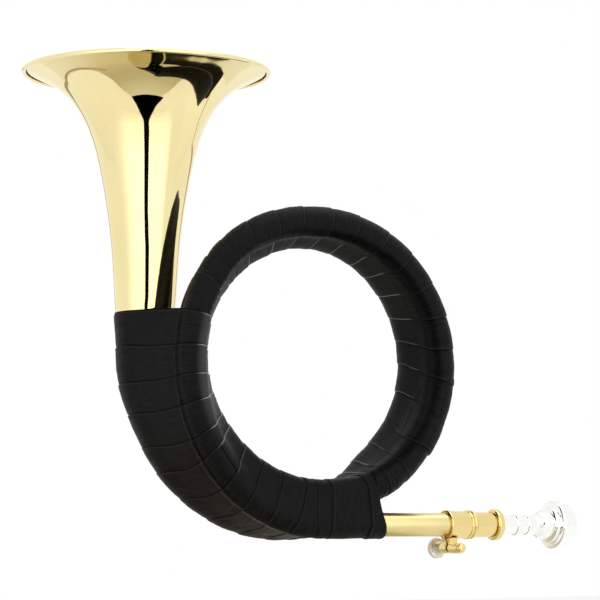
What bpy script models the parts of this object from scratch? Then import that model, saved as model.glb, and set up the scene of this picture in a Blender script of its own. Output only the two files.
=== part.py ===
"""Hunting horn: a conical brass tube of two and a quarter turns with an upright bell,
wound with a leather strip, and a clamped tuning sleeve that holds the mouthpiece.

Metres, +Z up. X runs along the leadpipe towards the mouthpiece, and the bell's mouth
faces +Z. The origin is the inner top of the coil, where the horn is held.
"""

import math
from math import cos, pi, radians, sin, tau

import bmesh
import bpy
import numpy as np
from mathutils import Vector

MM = 0.001

# Clearances: between pieces that seat on each other, and round the sliding leadpipe
SEAT_GAP = 0.3 * MM
SLIDE_GAP = 0.15 * MM

# Coil. Its centre is the frame that everything is laid out in.
LEADPIPE_DROP = 80.5 * MM
LEADPIPE_RADIUS = 6.0 * MM
BELL_INSET = 1.0 * MM
BELL_DEPTH = 40.0 * MM
BELL_TAIL_RADIUS = 13.6 * MM
TUBE_WALL = 0.5 * MM
POINTS_A_TURN = 40
TUBE_RESOLUTION = 2

# The coil from the bottom, past the left, the top and the right, for each row: turns, how
# much nearer to the centre the tube lies than the leadpipe, its depth, its outer radius.
COIL_STATIONS = (
    (0.00, 0.0 * MM, 0.0 * MM, LEADPIPE_RADIUS),
    (0.25, 5.7 * MM, 0.0 * MM, 6.1 * MM),
    (0.37, 4.1 * MM, 0.0 * MM, 6.2 * MM),
    (0.50, 7.9 * MM, 0.0 * MM, 6.3 * MM),
    (0.75, 9.6 * MM, 1.0 * MM, 6.4 * MM),
    (0.88, 10.5 * MM, 2.0 * MM, 6.6 * MM),
    (1.00, 14.3 * MM, 4.0 * MM, 6.7 * MM),
    (1.12, 14.9 * MM, 9.5 * MM, 6.9 * MM),
    (1.25, 13.1 * MM, 14.7 * MM, 7.1 * MM),
    (1.37, 11.3 * MM, 15.1 * MM, 7.4 * MM),
    (1.50, 10.9 * MM, 15.5 * MM, 7.7 * MM),
    (1.75, 11.9 * MM, 17.2 * MM, 8.6 * MM),
    (1.88, 11.1 * MM, 23.5 * MM, 9.8 * MM),
    (1.94, 7.1 * MM, 25.0 * MM, 10.3 * MM),
    (2.00, 4.6 * MM, 27.0 * MM, 10.8 * MM),
    (2.08, 1.7 * MM, 30.0 * MM, 11.7 * MM),
    (2.14, 1.1 * MM, 33.0 * MM, 12.4 * MM),
    (2.19, 1.9 * MM, 36.0 * MM, 12.9 * MM),
    (2.25, BELL_INSET, BELL_DEPTH, BELL_TAIL_RADIUS),
)

# Ferrules: each joins two drawn-in tube ends and is flush with the tubes.
BOW_JOINTS = (-0.03, 0.50, 1.02, 1.60)
BELL_JOINT_HEIGHT = 9.0 * MM
FERRULE_LENGTH = 16.0 * MM
FERRULE_WALL = 0.5 * MM
BUTT_GAP = 1.0 * MM
DRAW_IN_LENGTH = 1.2 * MM

# Stays soldered between two turns that lie side by side
STAYS = (
    ("stay_lower_left", 0.12, 1.12),
    ("stay_upper_left", 0.36, 1.36),
    ("stay_upper_right", 0.66, 1.66),
    ("stay_lower_right", 0.90, 1.90),
    ("stay_bell", 1.15, 2.15),
)
STAY_RADIUS = 2.2 * MM
STAY_SIDES = 12

# Bell: heights above the coil's centre, with outer radii
BELL_STATIONS = (
    (20.0 * MM, 14.6 * MM),
    (32.6 * MM, 15.6 * MM),
    (44.7 * MM, 16.25 * MM),
    (56.8 * MM, 17.1 * MM),
    (68.9 * MM, 18.4 * MM),
    (81.1 * MM, 20.2 * MM),
    (93.2 * MM, 22.3 * MM),
    (105.3 * MM, 24.9 * MM),
    (117.6 * MM, 28.8 * MM),
    (124.0 * MM, 31.8 * MM),
    (130.3 * MM, 35.7 * MM),
    (136.8 * MM, 41.6 * MM),
    (141.5 * MM, 47.8 * MM),
)
BELL_RIM_HEIGHT = 148.6 * MM
BELL_RIM_RADIUS = 63.0 * MM
BELL_WALL = 0.5 * MM
BELL_STEPS = 40
RIM_WIRE_RADIUS = 0.45 * MM
RIM_WIRE_GAP = 0.2 * MM
CURL_FIRST_ANGLE = radians(-157.5)
CURL_ANGLE = radians(45)
CURL_POINTS = 7

# Leather strip: thickness, the step at each lap, and how far it sinks between tubes
LEATHER = 0.8 * MM
LINING_GAP = 0.7 * MM
LAP_STEP = 0.6 * MM
BUNDLE_LAP = 17.0 * MM
RING_LAP = 19.0 * MM
VALLEY_SAG = 2.2 * MM
STEP_SHARE = 0.03
WRAP_TOP = 28.0 * MM
WRAP_END = 34.0 * MM
WRAP_END_SLANT = radians(13.5)
BUNDLE_SPLICE = radians(220)
RING_SPLICE_TURN = 0.775
SPLICE_GAP = 0.45 * MM
BUNDLE_SIDES = 26
RING_SIDES = 22
LINING_RUN = 10.0 * MM

# Tuning sleeve, collar and receiver, with their places to the right of the coil's centre
LEADPIPE_END = 92.5 * MM
SLEEVE_START = 74.0 * MM
SLEEVE_WALL = 0.35 * MM
SLEEVE_SLOT = 1.2 * MM
SLEEVE_SLOT_LENGTH = 14.0 * MM
COLLAR_LENGTH = 16.5 * MM
COLLAR_WALL = 0.5 * MM
COLLAR_BEAD = 0.4 * MM
COLLAR_BEAD_LENGTH = 1.4 * MM
RECEIVER_START = 103.0 * MM
RECEIVER_LENGTH = 4.0 * MM
RECEIVER_RADIUS = 8.1 * MM
RECEIVER_SPIGOT = 5.0 * MM
RECEIVER_CHAMFER = 0.8 * MM
TURNED_STEPS = 24

# Clamp: ears and screw, in the order that they lie in from the near side to the far side
SCREW_OFFSET = 76.8 * MM
SCREW_DROP = 12.0 * MM
SCREW_GAP_DEPTH = -0.8 * MM
EAR_GAP = 2.0 * MM
EAR_RADIUS = 2.7 * MM
NEAR_EAR_LENGTH = 7.5 * MM
FAR_EAR_LENGTH = 6.0 * MM
EAR_WEB_THICKNESS = 2.2 * MM
EAR_WEB_WIDTH = 4.6 * MM
SCREW_RADIUS = 1.5 * MM
SCREW_TIP_RADIUS = 2.4 * MM
SCREW_TIP_LENGTH = 3.0 * MM
SCREW_NECK_RADIUS = 2.3 * MM
SCREW_NECK_LENGTH = 4.0 * MM
SCREW_HEAD_RADIUS = 5.35 * MM
SCREW_HEAD_LENGTH = 2.5 * MM
KNURL_DEPTH = 0.3 * MM
KNURLS = 24
SCREW_STEPS = 16

# Mouthpiece: distances from the receiver's face, with outer radii
SHANK_TIP_RADIUS = 4.1 * MM
SHANK_RADIUS = 4.9 * MM
SHANK_INSIDE = 24.0 * MM
SHANK_GAP = 0.2 * MM
MOUTHPIECE_OUTLINE = (
    (9.6 * MM, SHANK_RADIUS),
    (10.2 * MM, 5.5 * MM),
    (11.8 * MM, 5.5 * MM),
    (12.6 * MM, 4.7 * MM),
    (16.8 * MM, 4.7 * MM),
    (17.4 * MM, 5.25 * MM),
    (18.8 * MM, 5.25 * MM),
    (19.4 * MM, 4.8 * MM),
    (22.0 * MM, 4.8 * MM),
    (23.6 * MM, 5.2 * MM),
    (25.6 * MM, 6.3 * MM),
    (28.4 * MM, 7.3 * MM),
    (31.4 * MM, 7.6 * MM),
    (33.0 * MM, 8.4 * MM),
    (34.6 * MM, 10.8 * MM),
    (35.6 * MM, 12.8 * MM),
    (36.8 * MM, 12.8 * MM),
    (37.6 * MM, 11.6 * MM),
    (39.2 * MM, 11.1 * MM),
    (43.0 * MM, 10.9 * MM),
    (44.0 * MM, 10.3 * MM),
    (44.3 * MM, 9.4 * MM),
)
CUP_OUTLINE = (
    (43.7 * MM, 8.5 * MM),
    (41.0 * MM, 7.9 * MM),
    (36.0 * MM, 6.4 * MM),
    (31.0 * MM, 4.0 * MM),
    (27.0 * MM, 2.2 * MM),
)
BACKBORE_TIP_RADIUS = 3.3 * MM

# Colour, metallic value and roughness of each finish
LACQUERED_BRASS = ("lacquered_brass", (0.87, 0.74, 0.36, 1.0), 1.0, 0.18)
GOLD_BRASS = ("gold_brass", (0.82, 0.62, 0.30, 1.0), 1.0, 0.2)
BARE_BRASS = ("bare_brass", (0.72, 0.58, 0.30, 1.0), 1.0, 0.4)
NICKEL = ("nickel", (0.74, 0.73, 0.70, 1.0), 1.0, 0.25)
SILVER_PLATE = ("silver_plate", (0.93, 0.93, 0.90, 1.0), 1.0, 0.12)
BLACK_LEATHER = ("black_leather", (0.012, 0.012, 0.013, 1.0), 0.0, 0.5)

# Sizes that follow from those above
BELL_OFFSET = LEADPIPE_DROP - BELL_INSET
LAST_TURN = COIL_STATIONS[-1][0]
CURL_RADIUS = RIM_WIRE_RADIUS + RIM_WIRE_GAP
CURL_CENTRE_RADIUS = BELL_RIM_RADIUS - CURL_RADIUS - BELL_WALL
CURL_TOP = CURL_RADIUS * cos(CURL_ANGLE / 2)
CURL_CENTRE_HEIGHT = BELL_RIM_HEIGHT - BELL_WALL - CURL_TOP
CURL_LAST_ANGLE = CURL_FIRST_ANGLE + CURL_ANGLE * (CURL_POINTS - 1)
DRAW_IN = FERRULE_WALL + SEAT_GAP
SLEEVE_BORE = LEADPIPE_RADIUS + SLIDE_GAP
SLEEVE_RADIUS = SLEEVE_BORE + SLEEVE_WALL
COLLAR_BORE = SLEEVE_RADIUS + SLIDE_GAP
COLLAR_RADIUS = COLLAR_BORE + COLLAR_WALL
RECEIVER_FACE = RECEIVER_START + RECEIVER_LENGTH


def smooth_curve(places, values, level_ends):
    """A function through the values that is smooth and never overshoots them."""
    chords = [
        (after - before) / (end - start)
        for before, after, start, end in zip(values, values[1:], places, places[1:])
    ]
    inner = [0.0 if a * b <= 0 else 2 * a * b / (a + b) for a, b in zip(chords, chords[1:])]
    first, last = (0.0, 0.0) if level_ends else (chords[0], chords[-1])
    slopes = [first, *inner, last]

    def value_at(place):
        place = min(max(place, places[0]), places[-1])
        index = max(i for i in range(len(chords)) if places[i] <= place)
        width = places[index + 1] - places[index]
        share = (place - places[index]) / width
        rest = 1 - share
        return (
            values[index] * (1 + 2 * share) * rest**2
            + values[index + 1] * (1 + 2 * rest) * share**2
            + width * share * rest * (slopes[index] * rest - slopes[index + 1] * share)
        )

    return value_at


def coil_column(column):
    turns = [row[0] for row in COIL_STATIONS]
    return smooth_curve(turns, [row[column] for row in COIL_STATIONS], level_ends=True)


coil_inset = coil_column(1)
coil_depth = coil_column(2)
coil_tube_radius = coil_column(3)


def coil_radius(turn):
    return LEADPIPE_DROP - coil_inset(turn)


def bell_outline():
    """The bell's outer radius by height, from its tail to where the rim's curl begins."""
    lip_height = CURL_CENTRE_HEIGHT + CURL_RADIUS * sin(CURL_LAST_ANGLE)
    lip_radius = CURL_CENTRE_RADIUS + CURL_RADIUS * cos(CURL_LAST_ANGLE)
    stations = [(0.0, BELL_TAIL_RADIUS), *BELL_STATIONS, (lip_height, lip_radius)]
    heights, radii = zip(*stations)
    return lip_height, smooth_curve(heights, radii, level_ends=False)


BELL_LIP_HEIGHT, bell_radius = bell_outline()


def turns_of(distance, turn):
    """A distance along the tube near a turn, as a share of a turn."""
    return distance / (tau * coil_radius(turn))


BELL_JOINT_TURN = LAST_TURN + turns_of(BELL_JOINT_HEIGHT, LAST_TURN)


def path_point(turn):
    """The tube's centre: straight before the coil, round it, then straight up."""
    if turn < 0:
        return Vector((-turn * tau * LEADPIPE_DROP, 0.0, -LEADPIPE_DROP))
    if turn > LAST_TURN:
        return Vector((-BELL_OFFSET, BELL_DEPTH, (turn - LAST_TURN) * tau * BELL_OFFSET))
    angle = -pi / 2 - tau * turn
    radius = coil_radius(turn)
    return Vector((radius * cos(angle), coil_depth(turn), radius * sin(angle)))


def path_way(turn):
    """The tube's direction."""
    return (path_point(turn + 0.002) - path_point(turn - 0.002)).normalized()


def tube_radius(turn):
    if turn > LAST_TURN:
        return bell_radius((turn - LAST_TURN) * tau * BELL_OFFSET)
    return coil_tube_radius(turn)


def grip_point():
    """The inner top of the wrapped coil, on the tube that lies lowest there."""
    turn = 1.5
    reach = coil_radius(turn) - tube_radius(turn) - LINING_GAP - LEATHER
    return Vector((0.0, coil_depth(turn), reach))


def new_collection(name):
    made = bpy.data.collections.new(name)
    bpy.context.scene.collection.children.link(made)
    return made


def material_of(finish):
    name, colour, metallic, roughness = finish
    made = bpy.data.materials.get(name)
    if made is None:
        made = bpy.data.materials.new(name)
        made.use_nodes = True
        shader = made.node_tree.nodes["Principled BSDF"]
        shader.inputs["Base Color"].default_value = colour
        shader.inputs["Metallic"].default_value = metallic
        shader.inputs["Roughness"].default_value = roughness
    return made


def place(obj, group, frame, finish=None):
    """Puts an object in a collection, under the frame, with its finish."""
    for old in list(obj.users_collection):
        old.objects.unlink(obj)
    group.objects.link(obj)
    obj.parent = frame
    if finish:
        obj.data.materials.append(material_of(finish))
    return obj


def turned(name, profile, steps):
    """A closed profile of (radius, height) points turned about local Z."""
    mesh = bpy.data.meshes.new(name)
    points = [(radius, 0.0, height) for radius, height in profile]
    edges = [(i, (i + 1) % len(points)) for i in range(len(points))]
    mesh.from_pydata(points, edges, [])
    obj = bpy.data.objects.new(name, mesh)
    screw = obj.modifiers.new("turned", "SCREW")
    screw.axis = "Z"
    screw.steps = steps
    screw.render_steps = steps
    screw.use_smooth_shade = True
    screw.use_merge_vertices = True
    screw.merge_threshold = 0.01 * MM
    return obj


def walled(line, wall):
    """A closed profile: the line, top to bottom, and its offset by the wall inside it."""
    points = [Vector(point) for point in line]
    ways = [(b - a).normalized() for a, b in zip(points, points[1:])]
    inside = []
    for index, point in enumerate(points):
        before = ways[max(index - 1, 0)]
        after = ways[min(index, len(ways) - 1)]
        across = Vector((before.y + after.y, -before.x - after.x)).normalized()
        reach = wall / across.dot(Vector((after.y, -after.x)))
        inside.append(point + across * reach)
    return [*map(tuple, points), *map(tuple, reversed(inside))]


def curved_tube(name, turns, radius_at, wall):
    """An open-ended tube along the path, its wall grown inwards. The object's Z lies along
    the coil's axis, so that the sides of one tube line up with those of the next."""
    curve = bpy.data.curves.new(name, "CURVE")
    curve.dimensions = "3D"
    curve.twist_mode = "Z_UP"
    curve.bevel_depth = MM
    curve.bevel_resolution = TUBE_RESOLUTION
    spline = curve.splines.new("POLY")
    spline.points.add(len(turns) - 1)
    spline.use_smooth = True
    for point, turn in zip(spline.points, turns):
        centre = path_point(turn)
        point.co = (centre.x, -centre.z, centre.y, 1.0)
        point.radius = radius_at(turn) / MM
    obj = bpy.data.objects.new(name, curve)
    obj.rotation_euler = (-pi / 2, 0.0, 0.0)
    shell = obj.modifiers.new("wall", "SOLIDIFY")
    shell.thickness = wall
    shell.offset = -1.0
    return obj


def bow_turns(first_joint, last_joint):
    """Turns along a tube, with a close pair where each drawn-in end meets the full tube."""
    turns = []
    for joint, way in ((first_joint, 1), (last_joint, -1)):
        seat = FERRULE_LENGTH / 2 + SEAT_GAP
        for distance in (BUTT_GAP / 2, seat / 2, seat, seat + DRAW_IN_LENGTH):
            turns.append(joint + way * turns_of(distance, joint))
    start, stop = turns[3], turns[7]
    count = max(1, math.ceil((stop - start) * POINTS_A_TURN))
    turns += [start + (stop - start) * i / count for i in range(1, count)]
    return sorted(turns)


def bow_radius(turn, joints):
    """The tube's outer radius, less the draw-in at each joint of its own."""
    for joint in joints:
        distance = abs(turn - joint) / turns_of(1.0, joint)
        past = distance - FERRULE_LENGTH / 2 - SEAT_GAP
        if past < DRAW_IN_LENGTH / 2:
            return tube_radius(turn) - DRAW_IN
    return tube_radius(turn)


def make_bows(parts, frame):
    joints = (*BOW_JOINTS, BELL_JOINT_TURN)
    names = ("first_bow", "second_bow", "third_bow", "bell_bow")
    for index, name in enumerate(names):
        ends = joints[index : index + 2]
        turns = bow_turns(*ends)
        bow = curved_tube(name, turns, lambda turn, at=ends: bow_radius(turn, at), TUBE_WALL)
        place(bow, parts, frame, BARE_BRASS)


def make_ferrules(parts, frame):
    """Two straight ferrules, at the leadpipe and the bell, and three curved with the coil."""
    half = FERRULE_LENGTH / 2
    line = [(LEADPIPE_RADIUS, half), (LEADPIPE_RADIUS, -half)]
    straight = turned("leadpipe_ferrule", walled(line, FERRULE_WALL), TURNED_STEPS)
    straight.location = path_point(BOW_JOINTS[0])
    straight.rotation_euler = (0.0, pi / 2, 0.0)
    place(straight, parts, frame, BARE_BRASS)
    for name, joint in zip(("first_ferrule", "second_ferrule", "third_ferrule"), BOW_JOINTS[1:]):
        reach = turns_of(half, joint)
        turns = [joint + reach * step for step in (-1, -0.5, 0, 0.5, 1)]
        ferrule = curved_tube(name, turns, tube_radius, FERRULE_WALL)
        place(ferrule, parts, frame, BARE_BRASS)
    heights = (BELL_JOINT_HEIGHT + half, BELL_JOINT_HEIGHT - half)
    line = [(bell_radius(height), height) for height in heights]
    straight = turned("bell_ferrule", walled(line, FERRULE_WALL), BELL_STEPS)
    straight.location = (-BELL_OFFSET, BELL_DEPTH, 0.0)
    place(straight, parts, frame, BARE_BRASS)


def stay_reach(turn, way):
    """From a tube's centre to the end of a stay that meets it at a lean."""
    lean = math.asin(abs(way.dot(path_way(turn))))
    return tube_radius(turn) / cos(lean) + STAY_RADIUS * math.tan(lean) + SEAT_GAP


def make_stays(parts, frame):
    for name, inner_turn, outer_turn in STAYS:
        start, stop = path_point(inner_turn), path_point(outer_turn)
        way = (stop - start).normalized()
        start += way * stay_reach(inner_turn, way)
        stop -= way * stay_reach(outer_turn, way)
        bpy.ops.mesh.primitive_cylinder_add(
            vertices=STAY_SIDES, radius=STAY_RADIUS, depth=(stop - start).length
        )
        stay = bpy.context.object
        stay.name = name
        stay.location = (start + stop) / 2
        stay.rotation_mode = "QUATERNION"
        stay.rotation_quaternion = way.to_track_quat("Z", "Y")
        place(stay, parts, frame, BARE_BRASS)


def make_leadpipe(parts, frame):
    """A straight tube whose left end is drawn in for its ferrule; local Z is its axis."""
    joint = path_point(BOW_JOINTS[0]).x
    shoulder = joint + FERRULE_LENGTH / 2 + SEAT_GAP
    line = [
        (LEADPIPE_RADIUS, LEADPIPE_END),
        (LEADPIPE_RADIUS, shoulder + DRAW_IN_LENGTH),
        (LEADPIPE_RADIUS - DRAW_IN, shoulder),
        (LEADPIPE_RADIUS - DRAW_IN, joint + BUTT_GAP / 2),
    ]
    leadpipe = turned("leadpipe", walled(line, TUBE_WALL), TURNED_STEPS)
    leadpipe.location = (0.0, 0.0, -LEADPIPE_DROP)
    leadpipe.rotation_euler = (0.0, pi / 2, 0.0)
    place(leadpipe, parts, frame, LACQUERED_BRASS)


def make_bell(parts, frame):
    """A flared shell whose edge curls outwards round a wire."""
    curl = [
        (
            CURL_CENTRE_RADIUS + CURL_RADIUS * cos(CURL_FIRST_ANGLE + CURL_ANGLE * step),
            CURL_CENTRE_HEIGHT + CURL_RADIUS * sin(CURL_FIRST_ANGLE + CURL_ANGLE * step),
        )
        for step in range(CURL_POINTS)
    ]
    shoulder = BELL_JOINT_HEIGHT + FERRULE_LENGTH / 2 + SEAT_GAP + DRAW_IN_LENGTH
    rows = 10
    # Squared shares crowd the rows towards the rim, where the flare turns fastest.
    shares = [(step / rows) ** 2 for step in range(1, rows)]
    heights = [BELL_LIP_HEIGHT - (BELL_LIP_HEIGHT - shoulder) * share for share in shares]
    flare = [(bell_radius(height), height) for height in [*heights, shoulder]]
    tail_heights = (shoulder - DRAW_IN_LENGTH, BELL_JOINT_HEIGHT + BUTT_GAP / 2)
    tail = [(bell_radius(height) - DRAW_IN, height) for height in tail_heights]
    bell = turned("bell", walled([*curl, *flare, *tail], BELL_WALL), BELL_STEPS)
    bell.location = (-BELL_OFFSET, BELL_DEPTH, 0.0)
    place(bell, parts, frame, LACQUERED_BRASS)
    bpy.ops.mesh.primitive_torus_add(
        major_segments=BELL_STEPS,
        minor_segments=6,
        major_radius=CURL_CENTRE_RADIUS,
        minor_radius=RIM_WIRE_RADIUS,
    )
    wire = bpy.context.object
    wire.name = "rim_wire"
    wire.location = (-BELL_OFFSET, BELL_DEPTH, CURL_CENTRE_HEIGHT)
    wire.data.shade_smooth()
    place(wire, parts, frame, BARE_BRASS)


def bundle_plane(distance):
    """The plane that cuts the three tubes at a distance along the wrap from the bell's
    neck: its turn, and the x and z of the point that its outward line starts from."""
    if distance < WRAP_TOP:
        return 0.25, 0.0, WRAP_TOP - distance
    bent = distance - WRAP_TOP
    if bent < BUNDLE_QUARTER:
        return 0.25 * (1 - bent / BUNDLE_QUARTER), 0.0, 0.0
    share = min(1.0, (bent - BUNDLE_QUARTER) / BUNDLE_TAIL)
    return -WRAP_END_SLANT / tau * share, WRAP_END_SHIFT * share, 0.0


def eased(share):
    share = min(max(share, 0.0), 1.0)
    return share * share * (3 - 2 * share)


def ring_plane(distance):
    """The same for the two tubes of the ring: it starts level above the bundle's top and
    ends in the bundle's slanted end, a seat gap from each."""
    turn = 0.25 + distance / (tau * RING_REACH)
    lift = (WRAP_TOP + SEAT_GAP) * eased((0.43 - turn) / 0.18)
    shift = (WRAP_END_SHIFT + SEAT_GAP / cos(WRAP_END_SLANT)) * eased((turn - 0.79) / 0.17)
    return turn, shift, lift


# How far out the strip's laps are counted, and the lengths of the wraps there
BUNDLE_REACH = LEADPIPE_DROP + LEADPIPE_RADIUS + LEATHER
RING_REACH = LEADPIPE_DROP - COIL_STATIONS[2][1] + COIL_STATIONS[2][3] + LEATHER
BUNDLE_QUARTER = BUNDLE_REACH * pi / 2
WRAP_END_SHIFT = WRAP_END - LEADPIPE_DROP * math.tan(WRAP_END_SLANT)
BUNDLE_TAIL = WRAP_END_SHIFT + BUNDLE_REACH * WRAP_END_SLANT
BUNDLE_LENGTH = WRAP_TOP + BUNDLE_QUARTER + BUNDLE_TAIL
RING_LENGTH = (0.75 - WRAP_END_SLANT / tau) * tau * RING_REACH


def crossing(guess, base, normal):
    """The turn near the guess where the tube's centre line crosses a plane."""
    low, high = guess - 0.13, guess + 0.13
    side = (path_point(low) - base).dot(normal) > 0
    for _ in range(40):
        middle = (low + high) / 2
        if ((path_point(middle) - base).dot(normal) > 0) == side:
            low = middle
        else:
            high = middle
    return (low + high) / 2


def cut_tubes(plane, extra_turns):
    """Where a plane cuts the tubes: centres and half widths, outwards and in depth."""
    turn, shift, lift = plane
    angle = -pi / 2 - tau * turn
    base = Vector((shift, 0.0, lift))
    outward = Vector((cos(angle), 0.0, sin(angle)))
    normal = Vector((-sin(angle), 0.0, cos(angle)))
    ellipses = []
    for extra in extra_turns:
        at = crossing(turn + extra, base, normal)
        centre = path_point(at) - base
        way = path_way(at)
        through = abs(way.dot(normal))
        radius = tube_radius(at)
        wide = radius * math.hypot(1.0, way.dot(outward) / through)
        deep = radius * math.hypot(1.0, way.y / through)
        ellipses.append((centre.dot(outward), centre.y, wide, deep))
    return base, outward, np.array(ellipses)


def hull_reach(angles, ellipses):
    """How far the strip, stretched over the ellipses, lies from the origin."""
    facing = np.linspace(-pi, pi, 145)[:-1, None]
    out, deep, wide, tall = ellipses.T
    norm = np.hypot(wide * np.cos(facing), tall * np.sin(facing))
    support = out * np.cos(facing) + deep * np.sin(facing) + norm
    best = support.argmax(axis=1)
    rows = np.arange(len(best))
    x = (out + wide**2 * np.cos(facing) / norm)[rows, best]
    y = (deep + tall**2 * np.sin(facing) / norm)[rows, best]
    polar = np.unwrap(np.arctan2(y, x))
    x, y, polar = np.append(x, x[0]), np.append(y, y[0]), np.append(polar, polar[0] + tau)
    turned_angles = polar[0] + (angles - polar[0]) % tau
    index = np.clip(np.searchsorted(polar, turned_angles, side="right") - 1, 0, len(best) - 1)
    along_x, along_y = x[index + 1] - x[index], y[index + 1] - y[index]
    crossed = x[index] * along_y - y[index] * along_x
    return crossed / (np.cos(angles) * along_y - np.sin(angles) * along_x)


def tube_reach(angles, ellipses):
    """The furthest point of any ellipse along each ray from the origin, or 0."""
    far = np.zeros_like(angles)
    for out, deep, wide, tall in ellipses:
        a = np.cos(angles) ** 2 / wide**2 + np.sin(angles) ** 2 / tall**2
        b = out * np.cos(angles) / wide**2 + deep * np.sin(angles) / tall**2
        c = out**2 / wide**2 + deep**2 / tall**2 - 1
        inside = b * b - a * c
        far = np.maximum(far, np.where(inside > 0, (b + np.sqrt(np.abs(inside))) / a, 0.0))
    return far


def strip_reach(angles, ellipses, lift):
    """Reach of the strip's surface, lifted off the tubes and sunk between them."""
    grown = ellipses + np.array((0.0, 0.0, lift, lift))
    hull = hull_reach(angles, grown)
    spare = np.maximum(hull - tube_reach(angles, grown), 0.0)
    return hull - VALLEY_SAG * (1 - np.exp(-spare / VALLEY_SAG))


def spread_angles(ellipses, lift, count):
    """Ray angles that put the outline's points evenly by length and by bend together."""
    fine = np.linspace(0.0, tau, 181)
    reach = strip_reach(fine, ellipses, lift)
    x, y = reach * np.cos(fine), reach * np.sin(fine)
    along_x, along_y = np.diff(x), np.diff(y)
    length = np.hypot(along_x, along_y)
    facing = np.unwrap(np.arctan2(along_y, along_x))
    bend = np.abs(np.diff(facing, append=facing[0] + tau))
    measure = np.append(0.0, np.cumsum(length / length.sum() + 1.5 * bend / bend.sum()))
    return np.interp(np.arange(count) * measure[-1] / count, measure, fine)


def wrap_rings(plane_at, extra_turns, start, stop, sides):
    """Rings of points along a wrap: distances, then lining, low and high surfaces."""
    count = math.ceil((stop - start) / (2.5 * MM))
    distances = np.linspace(start, stop, count + 1)
    rings = []
    for distance in distances:
        base, outward, ellipses = cut_tubes(plane_at(distance), extra_turns)
        middle = ellipses[:, :2].mean(axis=0)
        ellipses[:, :2] -= middle
        angles = spread_angles(ellipses, LINING_GAP + LEATHER, sides)
        surfaces = []
        for thickness in (0.0, LEATHER, LEATHER + LAP_STEP):
            reach = strip_reach(angles, ellipses, LINING_GAP + thickness)
            out = middle[0] + reach * np.cos(angles)
            deep = middle[1] + reach * np.sin(angles)
            points = np.array(base) + out[:, None] * np.array(outward)
            points[:, 1] += deep
            surfaces.append(points)
        rings.append(surfaces)
    return distances, np.array(rings)


def wound_strip(name, plane_at, extra_turns, span, lap, sides, rising):
    """A leather strip wound round the tubes: a shell whose outside steps at every lap,
    along one unbroken helix. Rising laps climb to their edge, others fall from it."""
    start, stop = span
    distances, rings = wrap_rings(plane_at, extra_turns, start, stop, sides)
    offsets = (0.0, 1.0 - STEP_SHARE) if rising else (0.0, STEP_SHARE)
    shell = bmesh.new()
    made = {}

    def point_at(surface, distance, side):
        return [np.interp(distance, distances, rings[:, surface, side, axis]) for axis in range(3)]

    def outer_vertex(row, side):
        if side == sides:
            row, side = row + 2, 0
        distance = start + lap * (row // 2 + offsets[row % 2] + side / sides)
        surface = 1 + row % 2
        key = (row, side)
        if distance < start + SEAT_GAP:
            distance, surface, key = start, 1, ("start", side)
        elif distance > stop - SEAT_GAP:
            distance, surface, key = stop, 1, ("stop", side)
        if key not in made:
            made[key] = shell.verts.new(point_at(surface, distance, side))
        return made[key]

    def add_face(corners):
        corners = [v for i, v in enumerate(corners) if v is not corners[i - 1]]
        if len(set(corners)) > 2:
            shell.faces.new(corners)

    last_row = 2 * math.ceil((stop - start) / lap) + 2
    for row in range(-3, last_row + 1):
        for side in range(sides):
            quad = ((row, side), (row, side + 1), (row + 1, side + 1), (row + 1, side))
            add_face([outer_vertex(*corner) for corner in quad])
    count = math.ceil((stop - start) / LINING_RUN)
    lining = [
        [shell.verts.new(point_at(0, distance, side)) for side in range(sides)]
        for distance in np.linspace(start, stop, count + 1)
    ]
    ends = [[made[(end, side)] for side in range(sides)] for end in ("start", "stop")]
    bands = [*zip(lining, lining[1:]), (ends[0], lining[0]), (lining[-1], ends[1])]
    for near, far in bands:
        for side in range(sides):
            after = (side + 1) % sides
            add_face([near[side], near[after], far[after], far[side]])
    bmesh.ops.recalc_face_normals(shell, faces=shell.faces)
    mesh = bpy.data.meshes.new(name)
    shell.to_mesh(mesh)
    shell.free()
    mesh.shade_smooth()
    mesh.set_sharp_from_angle(angle=radians(40))
    return bpy.data.objects.new(name, mesh)


def make_wraps(parts, frame):
    """Four lengths of strip: two round the bundle of three tubes, two round the ring."""
    splice = WRAP_TOP + BUNDLE_REACH * (BUNDLE_SPLICE - pi)
    spans = {"bell_wrap": (0.0, splice), "lower_wrap": (splice + SPLICE_GAP, BUNDLE_LENGTH)}
    for name, span in spans.items():
        wrap = wound_strip(
            name, bundle_plane, (0, 1, 2), span, BUNDLE_LAP, BUNDLE_SIDES, rising=False
        )
        place(wrap, parts, frame, BLACK_LEATHER)
    splice = (RING_SPLICE_TURN - 0.25) * tau * RING_REACH
    spans = {"upper_ring_wrap": (0.0, splice), "right_ring_wrap": (splice + SPLICE_GAP, RING_LENGTH)}
    for name, span in spans.items():
        wrap = wound_strip(name, ring_plane, (0, 1), span, RING_LAP, RING_SIDES, rising=True)
        place(wrap, parts, frame, BLACK_LEATHER)


def slide_piece(name, profile, finish, parts, slide):
    """A piece turned about the leadpipe's axis; local Z runs right from the sleeve's end."""
    piece = turned(name, profile, TURNED_STEPS)
    piece.rotation_euler = (0.0, pi / 2, 0.0)
    place(piece, parts, slide, finish)
    return piece


def cutter(obj, helpers, slide):
    place(obj, helpers, slide)
    obj.hide_render = True
    obj.display_type = "WIRE"
    return obj


def box_cutter(name, low, high, helpers, slide):
    bpy.ops.mesh.primitive_cube_add(size=1.0)
    obj = bpy.context.object
    obj.name = name
    size = [b - a for a, b in zip(low, high)]
    for vertex in obj.data.vertices:
        vertex.co = [c * s for c, s in zip(vertex.co, size)]
    obj.location = [(a + b) / 2 for a, b in zip(low, high)]
    return cutter(obj, helpers, slide)


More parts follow.
